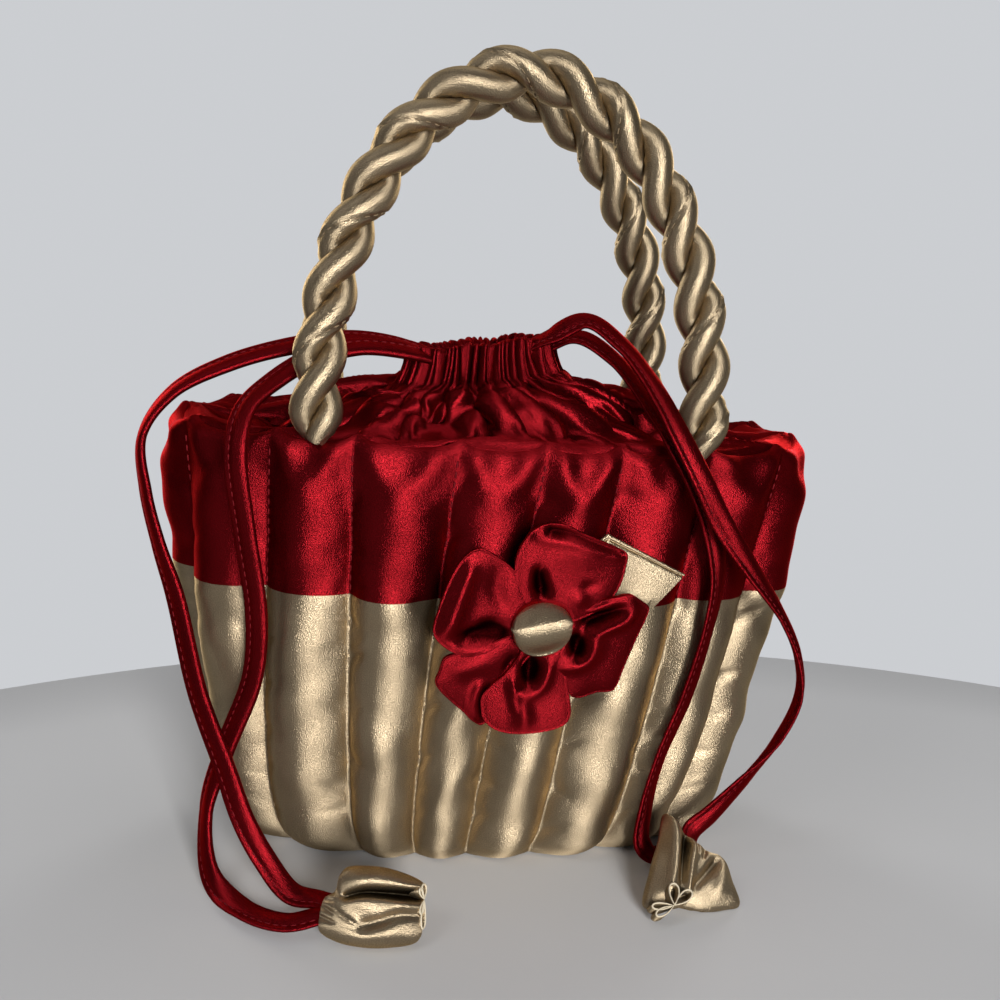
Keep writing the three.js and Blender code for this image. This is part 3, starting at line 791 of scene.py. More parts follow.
FLOWER_LIFT = 0.0035
BUTTON_LOW, BUTTON_HIGH = (np.array(corner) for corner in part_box("flower_button"))
FLOWER_CENTRE = np.array([
    (BUTTON_LOW[0] + BUTTON_HIGH[0]) / 2,
    BUTTON_HIGH[1] + 0.0058,
    (BUTTON_LOW[2] + BUTTON_HIGH[2]) / 2 + FLOWER_LIFT,
])
FLOWER_FACE = unit(np.array([0.02, -1.0, -0.05]))
FLOWER_UP = unit(np.array([0.0, 0.0, 1.0]) - FLOWER_FACE * FLOWER_FACE[2])
FLOWER_RIGHT = np.cross(FLOWER_UP, FLOWER_FACE)


def on_flower(x, y, height):
    """Points given in millimetres right, up and out from the flower's centre."""
    offset = x[..., None] * FLOWER_RIGHT + y[..., None] * FLOWER_UP + height[..., None] * FLOWER_FACE
    return FLOWER_CENTRE + offset * 0.001


def stroke(x, y, points, width):
    """Closeness to a smooth line through the points, which narrows and fades towards its far end."""
    line = smooth_line(points, STROKE_STEP)
    total = np.zeros(x.shape)
    for share, (px, py) in zip(np.linspace(0, 1, len(line)), line):
        reach = width * (1 - 0.35 * share)
        bump = np.exp(-((x - px) ** 2 + (y - py) ** 2) / reach ** 2)
        total += (1 - 0.5 * share) * bump * STROKE_STEP / (reach * math.sqrt(math.pi))
    return total


PETALS = {
    "petal_top": {
        "hub": (7, 21), "crown": 6.4, "edge": 4.4, "back": 1.0, "threads": (0.3, 0.95),
        "outline": [
            (-11, 22), (-10, 27), (-8, 31), (-6.5, 33.5), (-2.5, 35.5), (1.5, 36), (6, 35), (10, 33), (16.5, 30.5),
            (22.5, 28), (26, 26), (26, 22), (25, 16), (21.5, 9), (13.5, 3.5), (5.5, 1), (-2.5, 1.5), (-9, 11),
        ],
        "strokes": [
            (-5.0, 3.0, [(-0.5, 11), (-2, 15.5), (-3, 20.5)]),
            (1.8, 3.0, [(9, 11.5), (13, 10)]),
            (-1.2, 2.2, [(12.5, 15), (16.5, 15.5)]),
            (1.5, 5.5, [(16, 25.5), (10, 26), (2.5, 27.5)]),
            (1.2, 2.1, [(-6, 33), (-2, 31), (2, 30.5), (7, 30), (13, 28), (23.5, 25)]),
            (-3.0, 1.3, [(-1, 33.5), (4, 33), (9.5, 31.5), (16.5, 29), (24, 26.5)]),
        ],
    },
    "petal_upper_left": {
        "hub": (-20, 9), "crown": 5.8, "edge": 4.6, "back": 1.0, "threads": (0.37, 0.93),
        "outline": [
            (-22.5, 27), (-26, 25.5), (-29.5, 21), (-32.5, 14), (-34.5, 7), (-36, 0), (-35.5, -3), (-33, -6),
            (-29, -8.5), (-23.5, -10), (-17.5, -8.5), (-10.5, -5), (-4.5, -1), (-3, 4.5), (-6, 12.5), (-11, 20),
            (-17, 24.5),
        ],
        "strokes": [
            (4.2, 4.2, [(-32, -2), (-30, 4.5), (-27.5, 13), (-25, 21)]),
            (-6.0, 3.6, [(-12, -2.5), (-19, -2), (-26, -3.5)]),
            (1.8, 2.4, [(-30.5, -6.5), (-26, -8.5), (-20.5, -8.5), (-15.5, -7)]),
            (-1.6, 2.2, [(-15.5, 1.5), (-20.5, 1.5)]),
            (-1.8, 4.0, [(-16, 19.5), (-16.5, 12.5), (-12.5, 6.5)]),
        ],
    },
    "petal_lower_left": {
        "hub": (-20.5, -19), "crown": 4.8, "edge": 3.4, "back": 0.8, "threads": (0.7, 0.7),
        "outline": [
            (-27, -9.5), (-31.5, -11.5), (-33, -16.5), (-34, -20), (-32, -23.5), (-28, -27.5), (-24, -31),
            (-20.5, -34.5), (-17.5, -36), (-15, -34), (-12.5, -26), (-7, -16.5), (-2, -7), (-8, -3), (-17, -6),
        ],
        "strokes": [
            (2.2, 5.0, [(-16, -12.5), (-22, -13.5), (-28, -16)]),
            (1.8, 2.2, [(-19, -20), (-20.5, -27), (-19, -33.5)]),
            (-1.8, 1.8, [(-16.5, -22), (-17.5, -27.5), (-16, -33)]),
            (-2.2, 2.4, [(-8, -11), (-11, -15.5)]),
        ],
    },
    "petal_bottom": {
        "hub": (-3, -26), "crown": 6.4, "edge": 5.0, "back": 1.8, "threads": (-0.1, 1),
        "outline": [
            (12, -27), (12.5, -31), (11.5, -34.5), (8.5, -36.5), (3, -38), (-5, -38.5), (-10, -38), (-14.5, -36),
            (-17.5, -32.5), (-18.5, -28.5), (-18.5, -24.5), (-16, -21), (-11.5, -16.5), (-7.5, -11), (-5, -4.5),
            (5, -4), (8.5, -11.5), (10.5, -21),
        ],
        "strokes": [
            (-7.0, 3.8, [(-3, -11.5), (-2.5, -15.5), (-3, -19.5)]),
            (2.2, 3.1, [(0, -21), (-3, -23.5), (-6.5, -22.5), (-8.5, -19.5)]),
            (2.0, 3.0, [(1, -21), (2.5, -16.5), (3.5, -12.5)]),
            (2.4, 3.8, [(-3.5, -35), (-4, -30), (-5.5, -25)]),
            (1.1, 1.7, [(-8.5, -19), (-8.5, -23.5), (-7, -29.5)]),
        ],
    },
    "petal_right": {
        "hub": (19, -8.5), "crown": 6.2, "edge": 4.4, "back": 1.0, "threads": (0.6, 0.8),
        "outline": [
            (10, 2.5), (14.5, 7.5), (19, 10.5), (24, 12), (28, 12.5), (32.5, 10), (35.5, 7.5), (35, 4), (33, -2),
            (31, -8.5), (29, -15.5), (27.5, -21), (26, -23), (21, -23.5), (13.5, -25.5), (9, -20.5), (5, -13.5),
            (3.5, -6), (4.5, -0.5),
        ],
        "strokes": [
            (2.5, 2.9, [(28.5, 10.5), (24, 11), (19.5, 8.5), (14, 5.5)]),
            (2.5, 2.9, [(29, 9.5), (29.5, 6), (27, 3), (22, 0.5), (18, -1.5)]),
            (-4.5, 2.8, [(13.5, 1.5), (19, 4), (25.5, 6.5)]),
            (2.2, 3.3, [(17.5, -2.5), (18, -6.5), (16, -11), (11.5, -13.5), (5, -13.5)]),
            (-6.5, 3.4, [(11.5, -3.5), (13, -6.5), (12.5, -10)]),
            (1.2, 1.1, [(6, -17.5), (9, -22.5), (12.5, -25)]),
        ],
    },
}


STROKE_STEP = 0.4
SOFT_FLOOR = 0.9


def folded_form(name, place, facts, material):
    """A closed soft form on an outline: a front with folds pressed into it, a creased edge and a back, with painted
    shade marked in the hollows of the folds.
    """
    columns = 210
    outline = closed_line(facts["outline"], columns)
    hub = np.array(facts["hub"])
    edge = facts["edge"]
    rows = []
    painted_shade_rows = []
    for t in np.concatenate([np.linspace(0.02, 0.92, 40), [0.94, 0.958, 0.972, 0.984, 0.993, 1.0]]):
        x, y = (hub + (outline - hub) * t).T
        height = np.full(columns, edge + (facts["crown"] - edge) * math.sqrt(max(0.0, 1 - t ** 3)))
        inside = (1 - t) * np.hypot(*(outline - hub).T)
        height = height + facts["lip"] * np.exp(-(inside / 0.55) ** 2)
        sunk = np.zeros(columns)
        for depth, width, points in facts["strokes"]:
            fold = depth * stroke(x, y, points, width)
            height = height + fold
            sunk = sunk + np.maximum(-fold, 0)
        # Painted shade: how deep each point sits in a pressed-in fold, kept so the satin can darken its colour there.
        painted_shade_rows.append(ease(0.8, 3.0, sunk))
        root = ease(11.0, 7.0, np.hypot(x - facts["root"][0], y - facts["root"][1]))
        height = height + (facts["root_height"] - height) * root
        height = facts["floor"] + SOFT_FLOOR * np.log1p(np.exp((height - facts["floor"]) / SOFT_FLOOR))
        rows.append(place(x, y, height))
    for t in (0.996, 0.975, 0.94, 0.88, 0.78, 0.62, 0.40, 0.20, 0.02):
        x, y = (hub + (outline - hub) * t).T
        under = facts["back"] + (height - facts["rim"] - facts["back"]) * t ** 5
        rows.append(place(x, y, under))
        painted_shade_rows.append(np.zeros(columns))
    piece = grid_piece(name, np.array(rows), material, around=True, caps=True)
    # Painted shade in the fold hollows, stored on the points for the satin's colour.
    painted_pocket_shade = piece.data.attributes.new("painted_pocket_shade", "FLOAT", "POINT")
    painted_pocket_shade.data.foreach_set("value", np.concatenate(painted_shade_rows).astype(np.float32))
    return piece


def petal(name, facts):
    shape = {"root": (0.0, 0.0), "root_height": 3.2, "floor": 1.6, "rim": 1.1, "lip": 0.5, **facts}
    piece = folded_form(name + "_fold", on_flower, shape, RED_SATIN)
    outward = unit(np.array(facts["threads"], float))
    lay_flat(
        piece,
        FLOWER_RIGHT * outward[1] - FLOWER_UP * outward[0],
        FLOWER_RIGHT * outward[0] + FLOWER_UP * outward[1],
    )
    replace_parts(piece, name)
    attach(piece, "basket")


def flower_button():
    turn = np.linspace(0, 2 * math.pi, 144, endpoint=False)
    tips = np.exp(-((turn - 0.30) / 0.10) ** 2) + np.exp(-((turn - math.pi - 0.02) / 0.10) ** 2)
    profile = [(r, 3.6 + 3.8 * math.sqrt(1 - (r / 10.2) ** 4)) for r in np.linspace(0.2, 9.7, 30)]
    profile += [(9.9, 4.0), (9.95, 3.4), (9.6, 2.8), (8.0, 2.5), (0.2, 2.5)]
    rows = []
    for r, z in profile:
        near_edge = float(ease(7.0, 9.9, r)) if z > 2.6 else 0.0
        x = (r + 0.45 * tips * near_edge) * np.cos(turn)
        y = (r + 0.45 * tips * near_edge) * np.sin(turn)
        height = z + 0.04 * np.sin(31 * turn) * near_edge
        if z > 2.6:
            away = y - 2.7 - 0.22 * x
            upper = 0.19 * away + 0.5 * (np.sqrt(away ** 2 + 0.3) - 0.55)
            lower = (0.06 * (away + 1.6) ** 2 - 0.154) * math.sqrt(max(0.0, 1 - (r / 10.2) ** 4))
            height = height + 2.4 - 0.15 * y - np.where(away < 0, lower, upper)
        rows.append(on_flower(x - 0.2, y, height))
    piece = grid_piece("covered_button", np.array(rows), GOLD_SATIN, around=True, caps=True)
    lay_flat(piece, FLOWER_UP, -FLOWER_RIGHT)
    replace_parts(piece, "flower_button")
    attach(piece, "basket")


def leaf():
    """Flat folded tab: two layers with a dark slot just inside the upper edge."""
    rows = []
    upper = np.array([(17.9, 32.4), (20.2, 34.5), (48.3, 20.9)])
    lower = np.array([(15.0, 7.0), (24.0, 6.5), (38.5, 8.5)])
    share = np.linspace(0, 1, 40)
    top = np.stack([np.interp(share, [0, 0.15, 1], upper[:, k]) for k in range(2)], 1)
    foot = np.stack([np.interp(share, [0, 0.15, 1], lower[:, k]) for k in range(2)], 1)
    profile = [
        (0.0, 0.25), (0.3, 0.45), (0.6, 0.55), (0.86, 0.5), (0.915, 0.45), (0.925, 0.1), (0.93, -0.35),
        (0.94, -0.38), (0.95, 0.05), (0.96, 0.3), (0.985, 0.32), (1.0, 0.1), (1.0, -0.5), (0.985, -0.8),
        (0.6, -0.85), (0.2, -0.8), (0.0, -0.6),
    ]
    for place, height in profile:
        flat = foot + (top - foot) * place
        bow = 0.35 * np.sin(3 * math.pi * share) * math.sin(math.pi * place)
        rows.append(on_flower(flat[:, 0], flat[:, 1] - 1000 * FLOWER_LIFT, -0.6 + height + bow))
    piece = grid_piece("folded_leaf_tab", np.array(rows), GOLD_SATIN, loop=True)
    lay_flat(piece, FLOWER_RIGHT, FLOWER_UP)
    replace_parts(piece, "leaf_tab")
    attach(piece, "basket")


# Drawstrings and tassels

CORD_WIDTH = 0.0076
CORD_SECTION = [
    (-0.50, 0.00), (-0.47, 0.10), (-0.38, 0.16), (-0.20, 0.19), (0.00, 0.18), (0.16, 0.14), (0.24, 0.075),
    (0.28, 0.075), (0.40, 0.085), (0.49, 0.06), (0.51, 0.0), (0.49, -0.06), (0.40, -0.085), (0.28, -0.075),
    (0.24, -0.075), (0.16, -0.14), (0.00, -0.18), (-0.20, -0.19), (-0.38, -0.16), (-0.47, -0.10),
]

CORD_ROUTES = {
    "left_drawstring_outer": [
        (-0.0245, -0.001, 0.1765), (-0.0335, -0.001, 0.180), (-0.052, -0.003, 0.182), (-0.072, -0.006, 0.179), (-0.094, -0.008, 0.172),
        (-0.112, -0.013, 0.162), (-0.121, -0.020, 0.148), (-0.1195, -0.023, 0.130), (-0.115, -0.0262, 0.113),
        (-0.109, -0.030, 0.096), (-0.100, -0.042, 0.066), (-0.090, -0.052, 0.044), (-0.0835, -0.057, 0.028),
        (-0.076, -0.060, 0.015), (-0.067, -0.067, 0.007), (-0.0578, -0.0726, 0.008),
        (-0.0535, -0.0770, 0.0092),
    ],
    "left_drawstring_inner": [
        (-0.0220, 0.001, 0.1745), (-0.032, -0.010, 0.179), (-0.050, -0.014, 0.1805), (-0.066, -0.020, 0.1765), (-0.078, -0.029, 0.1695),
        (-0.086, -0.040, 0.162), (-0.088, -0.049, 0.150), (-0.085, -0.048, 0.124), (-0.081, -0.047, 0.096),
        (-0.082, -0.046, 0.074), (-0.091, -0.042, 0.046), (-0.097, -0.044, 0.024), (-0.094, -0.056, 0.007),
        (-0.082, -0.070, 0.0035), (-0.068, -0.079, 0.0045), (-0.0578, -0.0796, 0.007),
        (-0.0530, -0.0802, 0.0084),
    ],
    "right_drawstring_a": [
        (0.0100, -0.001, 0.1810), (0.0186, -0.001, 0.1845), (0.027, -0.007, 0.187), (0.038, -0.016, 0.1805), (0.045, -0.028, 0.1715),
        (0.0495, -0.040, 0.1635), (0.052, -0.050, 0.158), (0.058, -0.054, 0.148), (0.067, -0.051, 0.131),
        (0.072, -0.049, 0.112), (0.071, -0.0475, 0.092), (0.067, -0.046, 0.068), (0.060, -0.0445, 0.042),
        (0.057, -0.045, 0.024), (0.057, -0.046, 0.010), (0.063, -0.045, 0.0045), (0.0705, -0.044, 0.007),
        (0.0725, -0.0530, 0.0100),
    ],
    "right_drawstring_b": [
        (0.0060, 0.001, 0.1800), (0.0152, -0.0094, 0.187), (0.027, -0.015, 0.1935), (0.038, -0.023, 0.1865), (0.044, -0.034, 0.1785),
        (0.048, -0.045, 0.1705), (0.051, -0.054, 0.163), (0.058, -0.060, 0.150), (0.068, -0.058, 0.134),
        (0.082, -0.054, 0.117), (0.096, -0.050, 0.100), (0.106, -0.047, 0.083), (0.109, -0.046, 0.068),
        (0.104, -0.045, 0.051), (0.093, -0.044, 0.034), (0.082, -0.0437, 0.020), (0.0755, -0.0447, 0.0142),
        (0.0712, -0.0555, 0.0122),
    ],
}

# Way that the flat of each drawstring faces at each point of its route
CORD_FACES = {
    "left_drawstring_outer": [
        (0, -0.5, 1), (0, -0.3, 1), (0, -0.5, 1), (0, -0.6, 0.9), (-0.3, -0.7, 0.8), (-0.7, -0.6, 0.6), (-0.9, -0.5, 0.1),
        (-0.8, -0.7, 0), (-0.8, -0.7, 0), (-0.6, -0.8, 0), (-0.5, -0.9, 0), (-0.3, -1, 0.1), (0, -1, 0.3),
        (0.1, -0.8, 0.8), (0, -0.3, 1), (0, 0, 1), (0, -0.3, 1),
    ],
    "left_drawstring_inner": [
        (0, -0.5, 1), (0, -0.5, 1), (0, -0.5, 1), (0, -0.7, 0.9), (-0.2, -0.8, 0.8), (-0.3, -0.7, 0.8), (-0.2, -1, 0.2),
        (-0.2, -1, 0), (-0.3, -1, 0), (-0.6, -0.8, 0), (-0.7, -0.8, 0), (-0.8, -0.6, 0), (-0.6, -0.6, 0.6),
        (0, 0, 1), (0, 0, 1), (0, 0, 1), (0, -0.3, 1),
    ],
    "right_drawstring_a": [
        (0, -0.7, 0.8), (0.2, -0.6, 0.8), (0.3, -0.7, 0.7), (0.4, -0.7, 0.6), (0.5, -0.7, 0.6), (0.4, -0.8, 0.5), (0.3, -0.9, 0.4),
        (0.2, -1, 0.1), (0.1, -1, 0), (0.5, -0.8, 0), (0.7, -0.6, 0), (0.7, -0.6, 0), (0.6, -0.7, 0),
        (0.5, -0.8, 0), (0.5, -0.8, 0.2), (0, -0.3, 1), (0, -0.3, 1), (0, -0.5, 0.9),
    ],
    "right_drawstring_b": [
        (0, -0.7, 0.8), (0.2, -0.6, 0.8), (0.3, -0.7, 0.7), (0.4, -0.7, 0.6), (0.5, -0.7, 0.6), (0.4, -0.8, 0.5), (0.3, -0.9, 0.4),
        (0.2, -1, 0.1), (0, -1, 0), (0.4, -0.8, 0.4), (0.8, -0.4, 0.5), (1, -0.2, 0.1), (1, -0.2, 0),
        (0.9, -0.4, -0.1), (0.6, -0.8, 0.1), (0.4, -0.9, 0.2), (0.3, -0.9, 0.3), (0.3, -0.8, 0.5),
    ],
}


def drawstring(name, end_pieces):
    route = CORD_ROUTES[name]
    line = smooth_line(route, 0.0012)
    run = np.linspace(0, 1, len(line))
    nearest = [int(np.argmin(np.linalg.norm(line - np.array(p), axis=1))) for p in route]
    faces = np.array(CORD_FACES[name], float)
    face = np.stack([np.interp(np.arange(len(line)), nearest, faces[:, k]) for k in range(3)], 1)
    along = unit(np.gradient(line, axis=0))
    face = unit(face - along * (face * along).sum(1, keepdims=True))
    twist = 0.25 * wobble(run * 0.9, len(name), 5)
    side = np.cross(along, face)
    face, side = (
        face * np.cos(twist)[:, None] + side * np.sin(twist)[:, None],
        side * np.cos(twist)[:, None] - face * np.sin(twist)[:, None],
    )
    section = np.array(CORD_SECTION) * CORD_WIDTH
    swell = 1 + 0.06 * wobble(run * 0.97, 3 + len(name), 9)
    points = (
        line[:, None]
        + side[:, None] * section[None, :, :1]
        + face[:, None] * section[None, :, 1:] * swell[:, None, None]
    )
    piece = grid_piece(name + "_tube", points, RED_SATIN, around=True, caps=True)
    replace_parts(piece, name)
    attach(piece, "basket")
    runs = []
    for sign in (1, -1):
        groove = line + side * 0.26 * CORD_WIDTH + face * sign * 0.082 * CORD_WIDTH
        runs.append((groove, face * sign))
    stitches = stitch_piece(name + "_stitches", runs, RED_THREAD, 0.0020, 0.0010, 0.00022)
    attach(stitches, "basket")


def tassel_frame(origin, right, up):
    """A way to place points given in millimetres right, up and out from a tassel's origin, above the table."""
    right = unit(np.array(right))
    up = unit(np.array(up) - right * (right @ np.array(up)))
    face = np.cross(right, up)

    def place(x, y, height):
        offset = x[..., None] * right + y[..., None] * up + height[..., None] * face
        points = np.array(origin) + offset * 0.001
        points[..., 2] = np.maximum(points[..., 2], 0.0004)
        return points

    return place


TASSELS = {
    "left_tassel": {
        "frame": ((-0.0412, -0.0805, 0.0102), (0.9986, -0.0527, 0.0), (0.0301, 0.5702, 0.821)),
        "hub": (0.0, 0.0),
        "outline": [
            (-12.0, 4.9), (-10.8, 9.6), (-8.6, 12.1), (-0.8, 12.6), (6.3, 11.6), (15.6, 8.0), (16.7, 6.3),
            (16.6, 3.7), (16.2, 0.0), (16.2, -5.1), (15.9, -8.0), (14.2, -10.2), (6.3, -11.7), (-2.2, -11.7),
            (-10.8, -10.0), (-16.2, -6.8), (-16.4, -2.2), (-15.1, 2.9),
        ],
        "crown": 6.0, "edge": 0.0, "back": -6.5, "rim": 0.8, "floor": -1.5,
        "root": (0.0, 90.0), "root_height": 0.0, "lip": 0.0,
        "strokes": [
            (2.6, 3.8, [(-8, 8.5), (2, 9.5), (14, 6.5)]),
            (-5.0, 1.7, [(15.5, 3.5), (8.5, 4), (2, 4.5), (-3.5, 4.5), (-9, 3)]),
            (2.2, 4.2, [(6, 1), (15, 1)]),
            (1.4, 3.0, [(-0.5, 1.5), (-8, 1.5)]),
            (-2.0, 2.2, [(-3.5, -5.5), (2.5, -4), (8.5, -2), (15, -2)]),
            (1.8, 4.5, [(8.5, -7.5), (-1.5, -9), (-10, -8)]),
            (0.9, 1.2, [(-12.5, 0.5), (-9, -2.5), (-4.5, -5)]),
            (-1.8, 0.9, [(-16.2, 0.6), (-12.4, -1.6)]),
            (-1.6, 0.9, [(-16.4, -2.6), (-11.8, -4.4)]),
            (-1.4, 0.9, [(-15.6, 2.4), (-12.2, 2.2)]),
        ],
        "pinch": (16.4, 2.6, 1.4),
        "loops": [(5.0, 0.4, 3.4), (3.4, 3.0, 2.4), (-4.6, 2.0, 2.6), (-9.0, 0.4, 3.2)],
        "loops_turn": 0.6,
        "threads": (1.0, 0.0),
        "stitched": [(-13.1, 0.6), (-9.6, -2.0), (-6.2, -4.5)],
    },
    "right_tassel": {
        "frame": ((0.0510, -0.0749, 0.0010), (0.994, 0.110, -0.0145), (-0.0766, 0.7737, 0.6284)),
        "hub": (17.4, 12.2),
        "outline": [
            (15.0, 33.9), (17.9, 30.8), (21.8, 26.4), (25.0, 23.3), (29.0, 19.4), (32.3, 18.1), (34.3, 15.4),
            (34.8, 9.3), (35.2, 0.4), (28.7, -1.0), (22.3, -1.1), (17.3, 0.2), (9.8, 2.2), (4.4, 1.5),
            (0.2, 2.9), (5.3, 14.8), (10.6, 24.5),
        ],
        "crown": 4.2, "edge": 0.0, "back": -7.0, "rim": 0.8, "floor": -1.2,
        "root": (0.0, 90.0), "root_height": 0.0, "lip": 0.0,
        "strokes": [
            (3.2, 3.4, [(18.0, 34.0), (12.8, 14.3), (9.0, 6.0)]),
            (-3.6, 1.7, [(21.3, 26.1), (17.6, 18.0), (14.4, 8.9)]),
            (1.8, 1.8, [(23.1, 22.3), (19.1, 13.8), (16.0, 5.3)]),
            (-2.4, 2.0, [(30.5, 16.0), (24.2, 11.1), (18.4, 6.8)]),
            (1.6, 3.4, [(31.7, 11.1), (26.5, 4.2)]),
            (-1.4, 0.9, [(24.6, 22.9), (23.1, 18.4)]),
            (-1.4, 0.9, [(27.3, 20.4), (24.9, 16.5)]),
        ],
        "pinch": (8.0, 0.2, 7.6),
        "loops": [(7.6, -1.8, 4.2), (4.4, -7.6, 3.8), (0.4, 8.2, 2.8), (-2.6, 7.4, 3.0)],
        "loops_turn": 1.5708,
        "threads": (0.45, 0.89),
        "stitched": [],
    },
}


LOOP_DEPTH = 4.5
LOOP_WALL = 0.7


def tassel_loops(name, place, facts):
    """The pinched end: small open loops of doubled satin spreading from one point."""
    turn = np.linspace(0, 2 * math.pi, 40, endpoint=False)
    reach = (1 - np.cos(turn)) / 2
    pinch_x, pinch_y, pinch_height = facts["pinch"]
    out = math.sin(facts["loops_turn"])
    aside = math.cos(facts["loops_turn"])
    layers = [(LOOP_DEPTH, 0.0), (0.0, 0.0), (-0.3, 0.2), (-0.3, LOOP_WALL - 0.2), (0.0, LOOP_WALL), (LOOP_DEPTH, LOOP_WALL)]
    pieces = []
    for number, (first, second, width) in enumerate(facts["loops"], 1):
        length = math.hypot(first, second)
        rows = []
        for depth, inset in layers:
            along = inset + (length - 2 * inset) * reach
            side = (width / 2 * 1.25 - inset) * np.sin(turn) * np.sqrt(reach)
            a = (along * first - side * second) / length
            b = (along * second + side * first) / length
            rows.append(place(pinch_x - depth * aside - b * out, pinch_y + a, pinch_height - depth * out + b * aside))
        loop = grid_piece(f"{name}_loop_{number}", np.array(rows), GOLD_SATIN, around=True, loop=True)
        loop.data.materials.append(GOLD_EDGE)
        edge = np.repeat([0, 1, 1, 1, 0, 0], len(turn))
        loop.data.polygons.foreach_set("material_index", edge)
        pieces.append(loop)
    return pieces


def tassel(name):
    """Gathered pouch of satin on the cords' ends, pinched into four open loops."""
    facts = TASSELS[name]
    place = tassel_frame(*facts["frame"])
    pouch = folded_form(name + "_pouch", place, facts, GOLD_SATIN)
    right, up = (np.array(way) for way in facts["frame"][1:])
    lay_flat(
        pouch,
        right * facts["threads"][1] - up * facts["threads"][0],
        right * facts["threads"][0] + up * facts["threads"][1],
    )
    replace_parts(pouch, name)
    pieces = [pouch] + tassel_loops(name, place, facts)
    for piece in pieces:
        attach(piece, "basket")
    if facts["stitched"]:
        flat = smooth_line([(x, y, 8.2) for x, y in facts["stitched"]], 0.4)
        line = place(flat[:, 0], flat[:, 1], flat[:, 2])
        outward = np.tile(unit(np.array([-0.04, -0.82, 0.57])), (len(line), 1))
        stitches = stitch_piece(name + "_stitches", [(line, outward)], GOLD_THREAD, 0.0013, 0.0007, 0.00025)
        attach(stitches, "basket")
        pieces.append(stitches)
    return pieces


# Stage, light and camera

def stage():
    turn = np.linspace(0, 2 * math.pi, 160, endpoint=False)
    rows = []
    for radius, z in ((0.02, 0.0), (0.3, 0.0), (0.55, 0.0), (0.60, 0.0), (0.607, -0.003), (0.61, -0.010), (0.61, -0.04)):
        rows.append(np.stack([0.06 + radius * np.cos(turn), -0.43 + radius * np.sin(turn), 0 * turn + z], -1))
    floor = grid_piece("table_top", np.array(rows), matt("pale_table", (0.53, 0.53, 0.535), 0.9, 0.1, 6, 0.97), around=True, caps=True)


def lamp(name, place, aim, power, width, height):
    light = bpy.data.lights.new(name, "AREA")
    light.shape = "RECTANGLE"
    light.energy = power
    light.size = width
    light.size_y = height
    holder = bpy.data.objects.new(name, light)
    holder.location = place
    holder.rotation_euler = (Vector(aim) - Vector(place)).to_track_quat("-Z", "Y").to_euler()
    holder.visible_camera = False
    scene.collection.objects.link(holder)


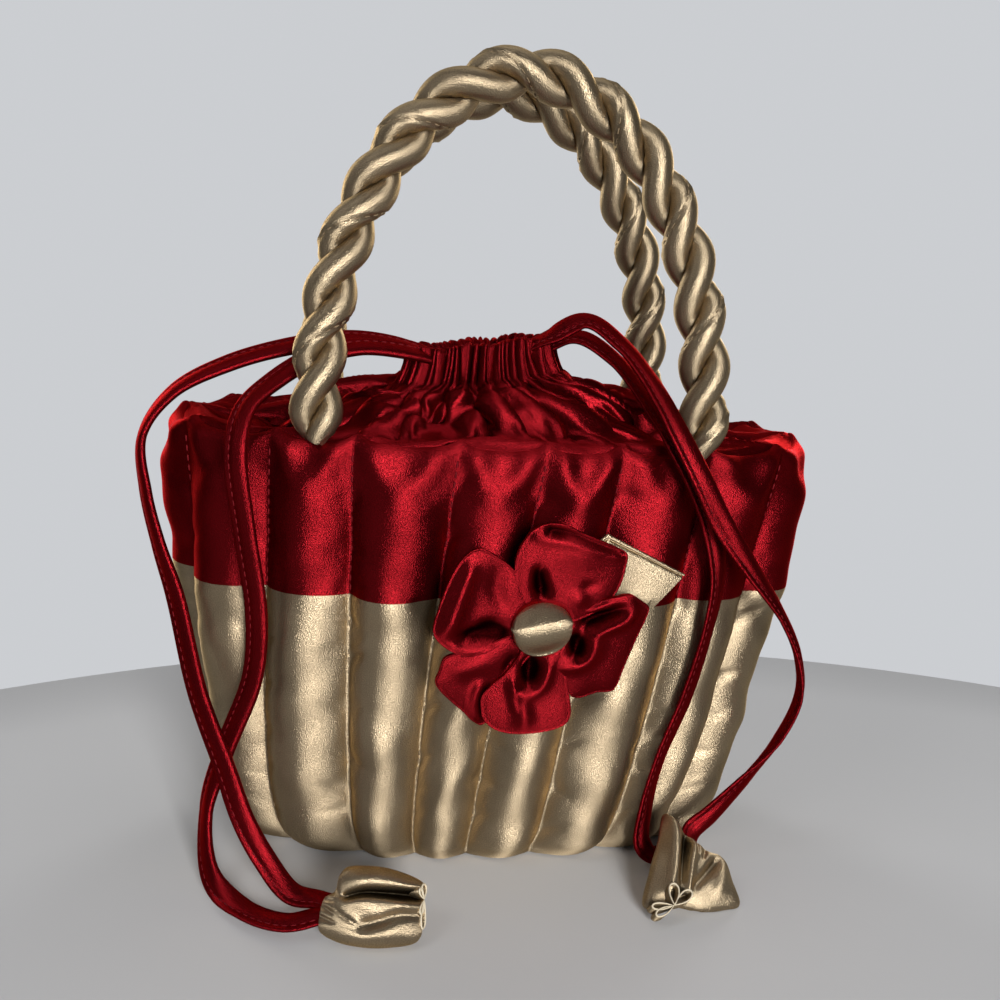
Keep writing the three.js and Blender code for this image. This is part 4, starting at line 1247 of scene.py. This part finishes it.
def lights():
    lamp("front", (0.34, -1.96, 0.57), (0, 0, 0.09), 68, 0.52, 1.0)
    lamp("back_left", (-1.24, 1.60, 0.59), (0, 0, 0.09), 14, 0.7, 1.0)
    lamp("back_right", (1.24, 1.60, 0.59), (0, 0, 0.09), 14, 0.7, 1.0)
    lamp("key", (-0.75, -0.45, 1.0), (0, 0, 0.12), 1.6, 0.45, 0.45)
    lamp("top", (0.05, 0.15, 1.1), (0, 0, 0.1), 1.2, 0.6, 0.6)
    world = bpy.data.worlds.new("studio")
    scene.world = world
    world.use_nodes = True
    nodes = world.node_tree.nodes
    links = world.node_tree.links
    background = nodes["Background"]
    background.inputs["Color"].default_value = (0.62, 0.64, 0.67, 1)
    background.inputs["Strength"].default_value = 0.14
    seen = nodes.new("ShaderNodeBackground")
    path = nodes.new("ShaderNodeLightPath")
    mix = nodes.new("ShaderNodeMixShader")
    shown = path.outputs["Is Camera Ray"]
    for ray in ("Is Glossy Ray", "Is Transmission Ray"):
        either = nodes.new("ShaderNodeMath")
        either.operation = "MAXIMUM"
        links.new(shown, either.inputs[0])
        links.new(path.outputs[ray], either.inputs[1])
        shown = either.outputs["Value"]
    links.new(shown, mix.inputs["Fac"])
    way = nodes.new("ShaderNodeTexCoord")
    parts = nodes.new("ShaderNodeSeparateXYZ")
    links.new(way.outputs["Generated"], parts.inputs["Vector"])
    behind = nodes.new("ShaderNodeMapRange")
    behind.inputs["From Min"].default_value = 0.15
    behind.inputs["From Max"].default_value = 0.75
    links.new(parts.outputs["Y"], behind.inputs["Value"])
    pale = nodes.new("ShaderNodeMath")
    pale.operation = "MAXIMUM"
    links.new(behind.outputs["Result"], pale.inputs[0])
    links.new(path.outputs["Is Camera Ray"], pale.inputs[1])
    wall = nodes.new("ShaderNodeValToRGB")
    wall.color_ramp.elements[0].color = (0.055, 0.055, 0.06, 1)
    wall.color_ramp.elements[1].color = (0.60, 0.615, 0.64, 1)
    links.new(pale.outputs["Value"], wall.inputs["Fac"])
    links.new(wall.outputs["Color"], seen.inputs["Color"])
    links.new(background.outputs["Background"], mix.inputs[1])
    links.new(seen.outputs["Background"], mix.inputs[2])
    links.new(mix.outputs["Shader"], nodes["World Output"].inputs["Surface"])


def camera():
    yaw = math.radians(8.98)
    pitch = math.radians(-13.81)
    roll = math.radians(4.08)
    look = Vector((math.sin(yaw) * math.cos(pitch), math.cos(yaw) * math.cos(pitch), math.sin(pitch)))
    right = Vector((math.cos(yaw), -math.sin(yaw), 0))
    up = right.cross(look)
    right, up = right * math.cos(roll) + up * math.sin(roll), up * math.cos(roll) - right * math.sin(roll)
    data = bpy.data.cameras.new("photo_camera")
    data.lens = 38.69
    data.sensor_width = 36
    holder = bpy.data.objects.new("photo_camera", data)
    scene.collection.objects.link(holder)
    holder.matrix_world = Matrix((
        (right.x, up.x, -look.x, -0.0571),
        (right.y, up.y, -look.y, -0.3820),
        (right.z, up.z, -look.z, 0.2202),
        (0, 0, 0, 1),
    ))
    scene.camera = holder


scene.view_settings.view_transform = "Standard"
camera()
stage()
lights()

seams, colour_seam = quilted_wall()
wall_stitches(seams, colour_seam)
base_panel()
lining()
collar()
handle("front", -1, 0.017)
handle("back", 1, 0.009)
for petal_name, petal_facts in PETALS.items():
    petal(petal_name, petal_facts)
flower_button()
leaf()
drawstring("left_drawstring_outer", tassel("left_tassel"))
drawstring("left_drawstring_inner", [])
drawstring("right_drawstring_a", tassel("right_tassel"))
drawstring("right_drawstring_b", [])
